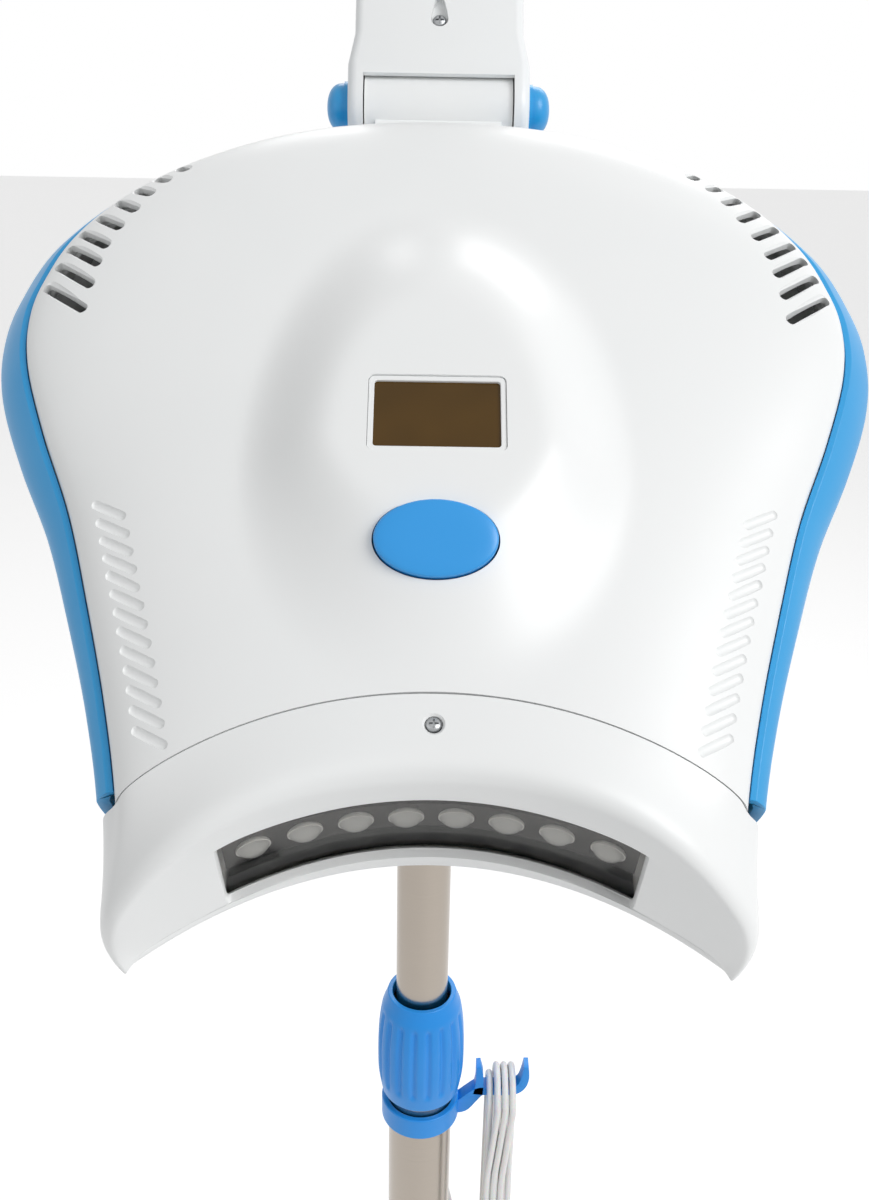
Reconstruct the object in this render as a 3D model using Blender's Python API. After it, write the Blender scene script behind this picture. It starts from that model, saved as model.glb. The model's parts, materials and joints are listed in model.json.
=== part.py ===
"""A teeth whitening lamp on a rolling stand: five-legged base, telescopic column,
folding arm and a tilting lamp head. Metres, +Z up, the head looks towards -Y."""

import math

import bmesh
import bpy
from mathutils import Matrix, Vector

# Clearances that every fit uses
GAP = 0.0003
RUN = 0.0004
OVERRUN = 0.01
FINE = 0.00005

# Casters
WHEEL_RADIUS = 0.022
WHEEL_WIDTH = 0.013
WHEEL_GAP = 0.0105
WHEEL_EDGE = 0.003
AXLE_RADIUS = 0.003
CASTER_TRAIL = 0.012
FORK_WEB = 0.0085
FORK_HOOD = 0.026
STEM_RADIUS = 0.004
STEM_LENGTH = 0.018
STEM_COLLAR_RADIUS = 0.008
STEM_COLLAR = 0.003

# Base star
LEG_COUNT = 5
LEG_REACH = 0.2502
LEG_ROOT = 0.026
LEG_ROOT_WIDTH = 0.034
LEG_ROOT_HEIGHT = 0.030
LEG_TIP_WIDTH = 0.026
LEG_TIP_HEIGHT = 0.021
LEG_EDGE = 0.004
HUB_RADIUS = 0.046
HUB_EDGE = 0.004
HUB_FLOOR = 0.006
HUB_CROWN = 0.008
HUB_COVER_RADIUS = 0.052
HUB_COVER_WALL = 0.0022
HUB_COVER_RISE = 0.014
HUB_COVER_SKIRT = 0.005

# Telescopic column
OUTER_TUBE_RADIUS = 0.016
OUTER_TUBE_WALL = 0.0012
OUTER_TUBE_LENGTH = 0.6385
INNER_TUBE_RADIUS = 0.0125
INNER_TUBE_WALL = 0.0012
INNER_TUBE_LENGTH = 0.665
TUBE_OVERLAP = 0.300
GUIDE_STEM = 0.020
GUIDE_FLANGE = 0.012
COLLET_HEIGHT = 0.020
COLLET_WALL = 0.0045
COLLET_SLOT = 0.002
COLLAR_HEIGHT = 0.062
COLLAR_TOP_ABOVE_TUBE = 0.030
COLLAR_RADIUS = 0.0215
COLLAR_LIP = 0.006
COLLAR_MOUTH_GAP = 0.0017
COLLAR_FLUTES = 18
FLUTE_DEPTH = 0.0013
COLLAR_BOTTOM_RADIUS = 0.0192
COLLAR_TOP_RADIUS = 0.0165

# Cable hook on the column
HOOK_DROP = 0.0065
HOOK_RING_HEIGHT = 0.0125
HOOK_RING_WALL = 0.0032
HOOK_STRAP = 0.007
HOOK_STRAP_HEIGHT = 0.0085
HOOK_CRADLE_START = 0.0315
HOOK_CRADLE_WIDTH = 0.0185
HOOK_CRADLE_RISE = 0.007
HOOK_HORN = 0.016
HOOK_HORN_WIDTH = 0.0035

# Cord, its hank and its plug
CORD_RADIUS = 0.0016
STRAND_PITCH = 0.0038
HANK_FOLD_RADIUS = 0.0105
HANK_LEG = 0.118
HANK_SLOTS = 4
HANK_LOOP_POINTS = 24
GLAND_RADIUS = 0.0045
GLAND_LENGTH = 0.012
GLAND_DROP = 0.0901
TAIL_LENGTH = 0.040
PLUG_LENGTH = 0.034
PLUG_RADIUS = 0.0055
PLUG_TIP_RADIUS = 0.00275
PLUG_TIP_LENGTH = 0.0095

# Folding arm
SHOULDER_ABOVE_TUBE = 0.0449
SPIGOT_RADIUS = 0.0108
SPIGOT_LENGTH = 0.030
SPIGOT_FLANGE_RADIUS = 0.0165
SPIGOT_FLANGE = 0.004
SPIGOT_PIN_RADIUS = 0.007
SPIGOT_PIN = 0.010
ARM_DEPTH = 0.024
ARM_EDGE = 0.003
KNUCKLE_WIDTH = 0.0446
CHEEK = 0.0047
LOWER_ARM_LENGTH = 0.225
LOWER_ARM_LEAN = math.radians(15.5)
FORE_ARM_LENGTH = 0.2214
FORE_ARM_LEAN = math.radians(36.6)
FORK_DEPTH = 0.018
CHANNEL_WEB = 0.003
TILT_FORK_DEPTH = 0.0120
BOLT_RADIUS = 0.004
CAP_RADIUS = 0.0076
CAP_THICKNESS = 0.0065
CAP_DOME = 0.0018
CAP_SOCKET = 0.003
ARM_COVER_DEPTH = 0.0025
ARM_COVER_MARGIN = 0.007
ARM_SCREW_RADIUS = 0.0032
ARM_SCREW_DEPTH = 0.003
ARM_SCREW_FROM_TILT = 0.036

# Lamp head, measured from its widest line, along and square to its cover
HEAD_SLOPE = math.radians(33.0)
HEAD_HALF_WIDTH = 0.115
REAR_REACH = 0.084
TIP_REACH = 0.151
HINGE_BEHIND = 0.1047
HINGE_BELOW = 0.003
RIM_INSET = 0.009
RIM_INSET_NOSE = 0.003
RIM_HEIGHT = 0.017
RIM_HEIGHT_NOSE = 0.005
CENTRE_HEIGHT = 0.031
CENTRE_HEIGHT_NOSE = 0.023
LOW_RIM = 0.015
LOW_RIM_NOSE = 0.018
CENTRE_DEPTH = 0.034
CENTRE_DEPTH_NOSE = 0.0235
SHELL_WALL = 0.0024
SKIRT_WALL = 0.0022
BAND_WALL = 0.003
BAND_LIP = 0.0015
SEAM_REACH = 0.107

# Raised podium, display, button and screw on the cover's middle line
PODIUM_HEIGHT = 0.0105
PODIUM_PLACE = 0.050
PODIUM_HALF_WIDTH = 0.047
PODIUM_REAR = 0.080
PODIUM_FRONT = 0.062
DISPLAY_PLACE = 0.0430
DISPLAY_WIDTH = 0.0320
DISPLAY_LENGTH = 0.0208
DISPLAY_RECESS = 0.0016
DISPLAY_PANE = 0.0014
DISPLAY_FRAME = 0.0014
MODULE_MARGIN = 0.004
BUTTON_PLACE = 0.0755
BUTTON_HALF_WIDTH = 0.0138
BUTTON_HALF_LENGTH = 0.0088
BUTTON_DOME = 0.0012
BUTTON_SKIRT = 0.0068
BUTTON_FLANGE = 0.0012
BUTTON_TRAVEL = 0.0012
SCREW_PLACE = 0.1145
SCREW_RADIUS = 0.0024
SCREW_DEPTH = 0.0016

# Vent slots over the shoulders and grip grooves along the sides
VENT_COUNT = 9
VENT_LENGTH = 0.0165
VENT_SHORT_LENGTH = 0.0045
VENT_WIDTH = 0.0028
VENT_INSET = 0.0045
VENT_ANGLE = math.radians(40.0)
GROOVE_COUNT = 13
GROOVE_LENGTH = 0.0110
GROOVE_WIDTH = 0.0022
GROOVE_DEPTH = 0.0008
GROOVE_INSET = 0.0115
INTAKE_WIDTH = 0.003
INTAKE_PITCH = 0.0075

# Nose with its curved outlet
NOSE_HALF_WIDTH = 0.0735
EDGE_REACH = 0.126
EDGE_SWEEP = 0.025
EDGE_LOW_REACH = 0.131
EDGE_LOW_SWEEP = 0.026
NOSE_RIM_HEIGHT = -0.002
NOSE_RIM_CROWN = 0.025
NOSE_LOW_RIM = 0.0275
NOSE_LOW_CROWN = -0.004
NOSE_ROUNDING = 0.0045
NOSE_EDGE_DEGREES = (35.0, 70.0)
WINDOW_HALF_WIDTH = 0.0465
WINDOW_TOP = 0.0115
WINDOW_BOTTOM = -0.0160
WINDOW_TOP_ARCH = 0.0035
WINDOW_BOTTOM_ARCH = 0.0035
PANE_GAP = 0.0008
PANE_MARGIN = 0.003
PANE_THICKNESS = 0.0015
LENS_COUNT = 8
LENS_PITCH = 0.0117
LENS_RADIUS = 0.0045
LENS_BAR = 0.0015
LENS_STAND_OFF = 0.0043
BAR_HALF_HEIGHT = 0.0060
BAR_HEIGHT = -0.0125
BAR_HALF_WIDTH = 0.0475
LED_BOARD = 0.0016
SINK_PLATE = 0.004
SINK_DEPTH = 0.022
SINK_FINS = 9
SINK_FIN = 0.0022

# Inside the head
BOARD_START = 0.022
BOARD_END = 0.090
BOARD_HALF_WIDTH = 0.036
BOARD_HEIGHT = 0.004
BOARD_THICKNESS = 0.0016
POST_RADIUS = 0.0032
SWITCH_SIZE = 0.009
FAN_SIZE = 0.060
FAN_THICKNESS = 0.015
FAN_PLACE = -0.012
FAN_WALL = 0.0018
FAN_HUB_RADIUS = 0.011
FAN_HUB_WALL = 0.0015
FAN_PIN_RADIUS = 0.0015
FAN_BLADES = 7
FAN_BLADE = 0.0014
FAN_BLADE_TWIST = math.radians(38.0)
FAN_SPOKE = 0.003
FAN_FLOOR = 0.0025
FAN_FOOT = 0.0082
TONGUE_THICKNESS = 0.008
TONGUE_LENGTH = 0.062
TONGUE_WIDTH = 0.038

# Shares, chosen by hand, of the sizes that they follow
REAR_OUTLINE_SHARES = [(0.0, 1.0), (0.29, 0.962), (0.54, 0.845), (0.76, 0.655), (0.92, 0.4), (0.985, 0.17)]
FRONT_OUTLINE_SHARES = [(1.0, 0.0), (0.98, 0.1), (0.915, 0.23), (0.83, 0.37), (0.765, 0.51), (0.695, 0.68),
                        (0.645, 0.84), (0.62, 1.0)]
SHOULDER_SHARE = 0.375
SEAM_SHARE = 0.925
BAND_END_SHARE = 0.915
BRACKET_END_SHARE = 0.092
SKIRT_END_SHARE = 0.908
REAR_ROLL_SHARE = 0.42
BAND_STEP_SHARES = [1.0, 0.7, 0.4, 0.0]
PODIUM_PLATEAU_SHARE = 0.5
VENT_START_SHARE = 0.262
VENT_END_SHARE = 0.462
VENT_FLOOR_SHARE = 0.8
GROOVE_START_SHARE = 0.715
GROOVE_END_SHARE = 0.895
GROOVE_SKEW_SHARE = 0.5
CROWN_POWER_SHARE = 2.4
CROWN_EDGE_SHARE = 0.5
NOSE_CROWN_POWER_SHARE = 4.5
COLUMN_SPREAD_SHARE = 1.2
ROW_SPREAD_SHARE = 1.2
LEG_RING_SHARES = [(0.5, 0.62, 0.62), (1.0, 1.0, 1.0)]
LEG_NOSE_SHARES = [(0.35, 0.8, 0.94), (0.5, 0.4, 0.85)]
AXLE_BOSS_SHARE = 2.4
HUB_COVER_SHARES = [2.0, 3.0, 4.0]
HUB_COVER_KNEE_SHARE = 0.6
COLLET_TOP_SHARE = 0.6
FLUTE_START_SHARE = 0.15
FLUTE_END_SHARE = 0.88
FLUTE_POWER_SHARE = 0.7
STRAP_UNDER_SHARE = 0.6
STRAP_FOOT_SHARE = 0.5
STRAP_TOP_SHARE = 0.3
HOOK_OUTLINE_SHARES = [
    ("root", 0.0, "base", 0.0), ("strap", 0.0, "base", 0.0), ("near", -0.2, "under", 0.0), ("far", -0.5, "under", 0.0),
    ("far", 1.0, "floor", 0.0), ("far", 1.5, "tip", -1.0), ("far", 1.0, "tip", 0.0), ("far", 0.3, "tip", -0.6),
    ("far", 0.0, "floor", 1.0), ("far", -0.7, "floor", 0.0), ("near", 0.7, "floor", 0.0), ("near", 0.0, "floor", 1.0),
    ("near", -0.1, "tip", -1.2), ("near", -0.7, "tip", -0.4), ("near", -1.1, "tip", -1.4), ("near", -1.1, "floor", 0.6),
    ("neck", 0.0, "top", 0.0), ("root", 0.0, "top", 0.0)]
GLAND_SHARES = [(1.3, 0.25), (1.0, 0.35)]
GLAND_TIP_SHARE = 1.6
PLUG_SHARES = [(1.5, 0.0), (2.0, 0.3)]
PLUG_SHOULDER_SHARE = 0.36
ARM_EDGE_SHARES = [(0.0, 0.7), (0.3, 0.25), (1.0, 0.0)]
CAP_EDGE_SHARES = (0.35, 0.3)
FORK_FOOT_SHARE = 0.6
CHANNEL_SHARE = 0.434
COVER_START_SHARE = 0.488
COVER_END_SHARE = 0.815
SCREW_TEAR_SHARE = 2.0
INTAKE_REACH_SHARE = 0.42
POST_INSET_SHARE = 1.6
TONGUE_POST_SHARE = 0.3
SINK_POST_SHARE = 0.55
PANE_EDGE_SHARE = 0.35
BRACKET_GAP_SHARE = 0.001
INTAKE_DEPTH_SHARE = 2.2
POST_BACK_SHARE = 1.5
SPOKE_LIFT_SHARE = 0.02
LENS_DEPTH_SHARE = 0.8
FAN_PIN_SHARE = 0.7
FAN_SPOKE_SHARE = 0.96
FAN_BLADE_SHARE = 0.86
FAN_SPOKES = 4
BUTTON_SHARES = [(1.0, 0.1), (0.96, 0.45), (0.8, 0.8), (0.45, 1.0)]
COLLAR_OUTLINE_SHARES = [(0.0, 0.0), (0.05, 0.28), (0.2, 0.85), (0.38, 1.0), (0.62, 0.93), (0.84, 0.62), (0.93, 0.28),
                         (1.0, 0.0)]
HANK_CLIMB_SHARES = [0.0, 0.0, 0.0, 1.0, 1.0]
HANK_SHIFT_SHARES = [[0.0, 0.0, 0.0, 0.0, 0.5], [0.0, 0.5, 1.0, 1.0, 1.0]]

# How finely the curved faces are divided
GRID_ACROSS = 16
GRID_ALONG = 12
SIDE_STEPS = 4
NOSE_ROWS = 3
ROUND = 28
MIDDLE_ROUND = 22
SMALL_ROUND = 14
WHEEL_STEPS = 20
BRACKET_STEPS = 12
SINK_STEPS = 16
SCREW_STEPS = 16
POST_STEPS = 10
PIN_STEPS = 12
ROTOR_STEPS = 24
OVAL_STEPS = 28
HALF_ROUND = 10
LEAD_POINTS = 27
TAIL_STEPS = 6
FORK_ROUND = 6
DENSE = 600
CURVE_STEPS = 30
SEARCH_STEPS = 40


def clear_scene():
    for obj in list(bpy.data.objects):
        bpy.data.objects.remove(obj, do_unlink=True)


def finish(name, colour, roughness, metallic=0.0, alpha=1.0):
    material = bpy.data.materials.new(name)
    material.use_nodes = True
    shader = material.node_tree.nodes["Principled BSDF"]
    shader.inputs["Base Color"].default_value = (*colour, 1.0)
    shader.inputs["Roughness"].default_value = roughness
    shader.inputs["Metallic"].default_value = metallic
    shader.inputs["Alpha"].default_value = alpha
    return material


def link(obj, parent=None):
    bpy.context.scene.collection.objects.link(obj)
    obj.parent = parent
    return obj


def empty(name, location, turn=(0.0, 0.0, 0.0), parent=None):
    obj = link(bpy.data.objects.new(name, None), parent)
    obj.location = location
    obj.rotation_euler = turn
    return obj


def solid(name, bm, material, parent=None, sharp=math.radians(35.0)):
    """Makes a named object from a bmesh, smooth except over sharp edges."""
    bmesh.ops.remove_doubles(bm, verts=bm.verts, dist=FINE / 10)
    bmesh.ops.recalc_face_normals(bm, faces=bm.faces)
    mesh = bpy.data.meshes.new(name)
    bm.to_mesh(mesh)
    bm.free()
    mesh.shade_smooth()
    mesh.set_sharp_from_angle(angle=sharp)
    if material:
        mesh.materials.append(material)
    return link(bpy.data.objects.new(name, mesh), parent)


def helper(name, bm, parent=None):
    """A cutter or a joining piece, which isn't itself part of the lamp."""
    obj = solid(name, bm, None, parent)
    obj.hide_render = True
    obj.display_type = "WIRE"
    return obj


def combine(target, other, operation="DIFFERENCE"):
    modifier = target.modifiers.new(operation.lower() + "_" + other.name, "BOOLEAN")
    modifier.operation = operation
    modifier.object = other
    modifier.solver = "EXACT"
    return target


def turned(bm, profile, steps, centre=(0, 0, 0), axis=(0, 0, 1), phase=0.0):
    """Spins a closed profile of (radius, height) points about an axis through centre."""
    rotation = Vector((0, 0, 1)).rotation_difference(Vector(axis)).to_matrix().to_4x4()
    place = Matrix.Translation(centre) @ rotation @ Matrix.Rotation(phase, 4, "Z")
    verts = [bm.verts.new(place @ Vector((r, 0, z))) for r, z in profile]
    ends = list(zip(range(len(verts)), list(range(1, len(verts))) + [0]))
    edges = [bm.edges.new((verts[a], verts[b])) for a, b in ends if profile[a][0] or profile[b][0]]
    bmesh.ops.spin(
        bm,
        geom=verts + edges,
        cent=centre,
        axis=rotation @ Vector((0, 0, 1)),
        angle=math.tau,
        steps=steps,
        use_merge=True,
    )
    bmesh.ops.remove_doubles(bm, verts=bm.verts, dist=FINE / 10)
    bmesh.ops.dissolve_degenerate(bm, edges=bm.edges, dist=FINE / 10)
    return bm


def rod(bm, radius, length, centre=(0, 0, 0), axis=(0, 0, 1), steps=SMALL_ROUND, phase=0.0):
    """A closed cylinder that starts at centre and runs along the axis."""
    rotation = Vector((0, 0, 1)).rotation_difference(Vector(axis)).to_matrix().to_4x4()
    place = Matrix.Translation(centre) @ rotation @ Matrix.Translation((0, 0, length / 2))
    bmesh.ops.create_cone(
        bm,
        cap_ends=True,
        segments=steps,
        radius1=radius,
        radius2=radius,
        depth=length,
        matrix=place @ Matrix.Rotation(phase, 4, "Z"),
    )
    return bm


def block(bm, low, high):
    """A box between two corners."""
    low, high = Vector(low), Vector(high)
    size = high - low
    place = Matrix.Translation((low + high) / 2) @ Matrix.Diagonal((*size, 1.0))
    bmesh.ops.create_cube(bm, size=1.0, matrix=place)
    return bm


def prism(bm, outline, direction):
    """Extrudes a closed outline of points along a direction."""
    verts = [bm.verts.new(p) for p in outline]
    face = bm.faces.new(verts)
    made = bmesh.ops.extrude_face_region(bm, geom=[face])
    moved = [v for v in made["geom"] if isinstance(v, bmesh.types.BMVert)]
    bmesh.ops.translate(bm, verts=moved, vec=direction)
    return bm


def loft(bm, rings, caps=True):
    """Joins closed rings of equal count with quads, then closes both ends or joins last to first."""
    rows = [[bm.verts.new(p) for p in ring] for ring in rings]
    for a, b in zip(rows, rows[1:] + ([] if caps else rows[:1])):
        for i in range(len(a)):
            j = (i + 1) % len(a)
            bm.faces.new((a[i], a[j], b[j], b[i]))
    if caps:
        bm.faces.new(rows[0])
        bm.faces.new(rows[-1])
    return bm


def circle(radius, steps=SMALL_ROUND):
    return [(radius * math.cos(math.tau * i / steps), radius * math.sin(math.tau * i / steps)) for i in range(steps)]


def mix(a, b, share):
    return a + (b - a) * share


def ease(share):
    share = min(max(share, 0.0), 1.0)
    return share * share * (3 - 2 * share)


def curve_through(points, count):
    """Points of a Catmull-Rom curve through the given points, evenly spaced along it."""
    pts = [Vector(p) for p in points]
    pts = [2 * pts[0] - pts[1]] + pts + [2 * pts[-1] - pts[-2]]
    dense = []
    for k in range(1, len(pts) - 2):
        a, b, c, d = pts[k - 1], pts[k], pts[k + 1], pts[k + 2]
        for step in range(CURVE_STEPS):
            t = step / (CURVE_STEPS)
            dense.append(0.5 * (2 * b + (c - a) * t + (2 * a - 5 * b + 4 * c - d) * t**2
                                + (3 * b - a - 3 * c + d) * t**3))
    dense.append(pts[-2])
    lengths = [0.0]
    for a, b in zip(dense, dense[1:]):
        lengths.append(lengths[-1] + (b - a).length)
    found = []
    k = 0
    for n in range(count):
        wanted = lengths[-1] * n / (count - 1)
        while k < len(dense) - 2 and lengths[k + 1] < wanted:
            k += 1
        step = lengths[k + 1] - lengths[k]
        found.append(dense[k].lerp(dense[k + 1], (wanted - lengths[k]) / step if step else 0.0))
    return found, lengths[-1]


# The head's form. A point is given by x, its distance s in front of the widest line
# and its height h over the middle plane, and is placed from the tilt hinge.
def head_point(x, s, h):
    return Vector((x, -s - HINGE_BEHIND, h + HINGE_BELOW))


def half_outline():
    shape = [(x * HEAD_HALF_WIDTH, -s * REAR_REACH) for x, s in REAR_OUTLINE_SHARES]
    shape += [(x * HEAD_HALF_WIDTH, s * TIP_REACH) for x, s in FRONT_OUTLINE_SHARES]
    mirrored = [(-x, s) for x, s in reversed(shape[1:3])]
    points, _ = curve_through([Vector((x, s, 0)) for x, s in mirrored + shape], DENSE)
    start = min(range(len(points)), key=lambda i: abs(points[i].x))
    points = points[start:]
    points[0].x = 0.0
    return points


HALF_OUTLINE = half_outline()


def outline(share):
    """Point and outward normal on the widest outline: 0 rear middle, 1 right nose tip, -1 left."""
    place = min(abs(share), 1.0) * (len(HALF_OUTLINE) - 1)
    k = min(int(place), len(HALF_OUTLINE) - 2)
    a, b = HALF_OUTLINE[k], HALF_OUTLINE[k + 1]
    p = a.lerp(b, place - k)
    back, ahead = HALF_OUTLINE[max(k - 4, 0)], HALF_OUTLINE[min(k + 5, len(HALF_OUTLINE) - 1)]
    along = (ahead - back).normalized()
    if k < 4:
        along = along.lerp(Vector((1, 0, 0)), 1 - place / 4 if place < 4 else 0.0).normalized()
    side = 1.0 if share >= 0 else -1.0
    return Vector((side * p.x, p.y, 0)), Vector((side * along.y, -along.x, 0))


def towards_nose(share):
    return ease((abs(share) - SHOULDER_SHARE) / (SEAM_SHARE - SHOULDER_SHARE))


def rim_inset(share):
    return mix(RIM_INSET, RIM_INSET_NOSE, towards_nose(share))


def rim_height(share):
    return mix(RIM_HEIGHT, RIM_HEIGHT_NOSE, towards_nose(share))


def low_rim(share):
    return -mix(LOW_RIM, LOW_RIM_NOSE, towards_nose(share))


def cover_inset(share):
    """How far inside the widest outline the covers start, behind the band's lip."""
    return rim_inset(share) + BAND_LIP + GAP


def rim_point(share):
    p, n = outline(share)
    return p - n * cover_inset(share)


def spread(k, count):
    """Columns across the head, from -1 to 1, a little closer at the sides."""
    v = 2.0 * k / count - 1.0
    return math.sin(COLUMN_SPREAD_SHARE * v) / math.sin(COLUMN_SPREAD_SHARE)


def seam(u):
    """The line where both covers meet the nose, bowed back in the middle."""
    end = rim_point(SEAM_SHARE)
    return Vector((u * end.x, SEAM_REACH + (end.y - SEAM_REACH) * u * u, 0))


def plan(u, t):
    """Coons patch in plan between rear rim, side rims and seam."""
    rear = rim_point(u * SHOULDER_SHARE)
    left = rim_point(-mix(SHOULDER_SHARE, SEAM_SHARE, t))
    right = rim_point(mix(SHOULDER_SHARE, SEAM_SHARE, t))
    v = (u + 1) / 2
    corners = [rim_point(-SHOULDER_SHARE), rim_point(SHOULDER_SHARE), seam(-1), seam(1)]
    sides = left.lerp(right, v)
    ends = rear.lerp(seam(u), t)
    flat = corners[0].lerp(corners[1], v).lerp(corners[2].lerp(corners[3], v), t)
    return sides + ends - flat


def crown(u):
    """Height of the crown at a column: it leaves the side rims steeply, as a rounded edge."""
    return max(1 - abs(u) ** CROWN_POWER_SHARE, 0.0) ** CROWN_EDGE_SHARE


def roll(t):
    """How far the crown has risen in front of the rear rim."""
    rise = min(max(t / REAR_ROLL_SHARE, 0.0), 1.0)
    return (1 - (1 - rise) ** 3) ** CROWN_EDGE_SHARE


def podium(x, s):
    """The raised, shaded dome that carries the display."""
    reach = PODIUM_REAR if s < PODIUM_PLACE else PODIUM_FRONT
    r = math.hypot(x / PODIUM_HALF_WIDTH, (s - PODIUM_PLACE) / reach)
    inner = PODIUM_PLATEAU_SHARE if s < PODIUM_PLACE else PODIUM_PLATEAU_SHARE * (
        1 - min((s - PODIUM_PLACE) / reach, 1.0))
    return PODIUM_HEIGHT * (1 - ease((r - inner) / (1 - inner)))


def side_share(t):
    return mix(SHOULDER_SHARE, SEAM_SHARE, t)


def top_height(u, t, x, s):
    rim = rim_height(side_share(t))
    centre = mix(CENTRE_HEIGHT, CENTRE_HEIGHT_NOSE, t * t)
    return rim + (centre - rim) * crown(u) * roll(t) + podium(x, s)


def low_height(u, t):
    rim = low_rim(side_share(t))
    centre = -mix(CENTRE_DEPTH, CENTRE_DEPTH_NOSE, t * t)
    return rim + (centre - rim) * crown(u) * roll(t)


def top_point(u, t):
    p = plan(u, t)
    return head_point(p.x, p.y, top_height(u, t, p.x, p.y))


def low_point(u, t):
    p = plan(u, t)
    return head_point(p.x, p.y, low_height(u, t))


def rows_share(k):
    return (k / GRID_ALONG) ** ROW_SPREAD_SHARE


def cover_shell(place, inward):
    """A shell whose outer face is place(u, t) and whose inner face lies a wall further in."""
    bm = bmesh.new()
    bmesh.ops.create_grid(bm, x_segments=GRID_ACROSS, y_segments=GRID_ALONG, size=1.0)
    outer = list(bm.faces)
    made = bmesh.ops.extrude_face_region(bm, geom=outer, use_keep_orig=True)
    inner = {item for item in made["geom"] if isinstance(item, bmesh.types.BMVert)}
    for v in bm.verts:
        column = round((v.co.x + 1) / 2 * GRID_ACROSS)
        row = round((v.co.y + 1) / 2 * GRID_ALONG)
        v.co = place(spread(column, GRID_ACROSS), rows_share(row))
        if v in inner:
            v.co.z += inward * SHELL_WALL
    return bm


def outline_stations():
    """Outline shares under the grid's side and rear columns, from the left nose round to the right."""
    sides = [min(side_share(rows_share(k)), SKIRT_END_SHARE) for k in range(GRID_ALONG, 0, -1)]
    rear = [spread(k, GRID_ACROSS) * SHOULDER_SHARE for k in range(GRID_ACROSS + 1)]
    return [-s for s in sides] + rear + [s for s in reversed(sides)]


def sweep_round(stations, profile):
    """Lofts a closed profile of (inset from the outline, height) along the outline."""
    rings = []
    for share in stations:
        p, n = outline(share)
        rings.append([head_point(*(p - n * inset).xy, h) for inset, h in profile(share)])
    return loft(bmesh.new(), rings)


def bulge(share, height_share):
    """Inset of the widest outline's bulge at a share of the rim's height."""
    return rim_inset(share) * height_share**2


def skirt_profile(share, rim, sign):
    """The wall behind the band, hung from a cover's rim."""
    under_lip = cover_inset(share) + GAP
    out = BAND_WALL + GAP
    outer = [(under_lip, rim - sign * GAP), (under_lip, rim - sign * SHELL_WALL)]
    outer += [(bulge(share, k) + out, rim * k) for k in BAND_STEP_SHARES[2:-1]]
    outer += [(out, sign * GAP)]
    inner = [(inset + SKIRT_WALL, h) for inset, h in reversed(outer)]
    return outer + inner


def half_band(share, rim, sign):
    """Outer and inner points of the band from the middle line to one rim."""
    lip = rim_inset(share) + BAND_LIP
    outer = [(bulge(share, k), rim * k) for k in reversed(BAND_STEP_SHARES)]
    inner = [(min(inset + BAND_WALL, lip), h) for inset, h in outer[:-2]]
    inner += [(lip, rim - sign * SHELL_WALL), (lip, rim)]
    return outer, inner


def band_profile(share):
    """A strip that bulges to the widest outline, flush with both covers' rims."""
    high_outer, high_inner = half_band(share, rim_height(share), 1)
    low_outer, low_inner = half_band(share, low_rim(share), -1)
    return list(reversed(high_outer)) + low_outer[1:] + list(reversed(low_inner)) + high_inner[1:]


# The nose: closed sections from the seam to the edge of the outlet.
def nose_crown(u, q):
    """The cover's crown at the seam, and a boxier one at the outlet."""
    return mix(crown(u), 1 - abs(u) ** NOSE_CROWN_POWER_SHARE, q)


def nose_section(q):
    """Closed ring of points round the nose, q from 0 at the seam to 1 at the outlet."""
    end = rim_point(SEAM_SHARE)
    bulge_in = mix(cover_inset(SEAM_SHARE), RIM_INSET_NOSE, q)
    half = mix(end.x, NOSE_HALF_WIDTH - bulge_in, q)
    top_rim, low = mix(rim_height(SEAM_SHARE), NOSE_RIM_HEIGHT, q), mix(low_rim(SEAM_SHARE), -NOSE_LOW_RIM, q)
    top_crown = mix(CENTRE_HEIGHT_NOSE - rim_height(SEAM_SHARE), NOSE_RIM_CROWN, q)
    low_crown = mix(-CENTRE_DEPTH_NOSE - low_rim(SEAM_SHARE), -NOSE_LOW_CROWN, q)
    reach, sweep = mix(SEAM_REACH, EDGE_REACH - NOSE_ROUNDING, q), mix(end.y - SEAM_REACH, EDGE_SWEEP, q)
    low_reach = mix(SEAM_REACH, EDGE_LOW_REACH - NOSE_ROUNDING, q)
    low_sweep = mix(end.y - SEAM_REACH, EDGE_LOW_SWEEP, q)
    ring = []
    for k in range(GRID_ACROSS + 1):
        u = spread(k, GRID_ACROSS)
        ring.append(Vector((u * half, reach + sweep * u * u, top_rim + top_crown * nose_crown(u, q))))
    top_side, low_side = ring[-1], Vector((half, low_reach + low_sweep, low))
    for k in range(1, SIDE_STEPS):
        share = k / SIDE_STEPS
        p = top_side.lerp(low_side, share)
        p.x += bulge_in * (1 - (2 * share - 1) ** 2)
        ring.append(p)
    for k in range(GRID_ACROSS, -1, -1):
        u = spread(k, GRID_ACROSS)
        ring.append(Vector((u * half, low_reach + low_sweep * u * u, low + low_crown * nose_crown(u, q))))
    for k in range(1, SIDE_STEPS):
        share = k / SIDE_STEPS
        p = low_side.lerp(top_side, share)
        p.x = -p.x - bulge_in * (1 - (2 * share - 1) ** 2)
        ring.append(p)
    return ring


def inset_ring(ring, inward, forward):
    """The ring moved inwards, square to itself in x and h, and forwards along s."""
    moved = []
    for k, p in enumerate(ring):
        a, b = ring[k - 1], ring[(k + 1) % len(ring)]
        along = Vector((b.x - a.x, b.z - a.z)).normalized()
        moved.append(Vector((p.x + along.y * inward, p.y + forward, p.z - along.x * inward)))
    return moved


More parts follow.
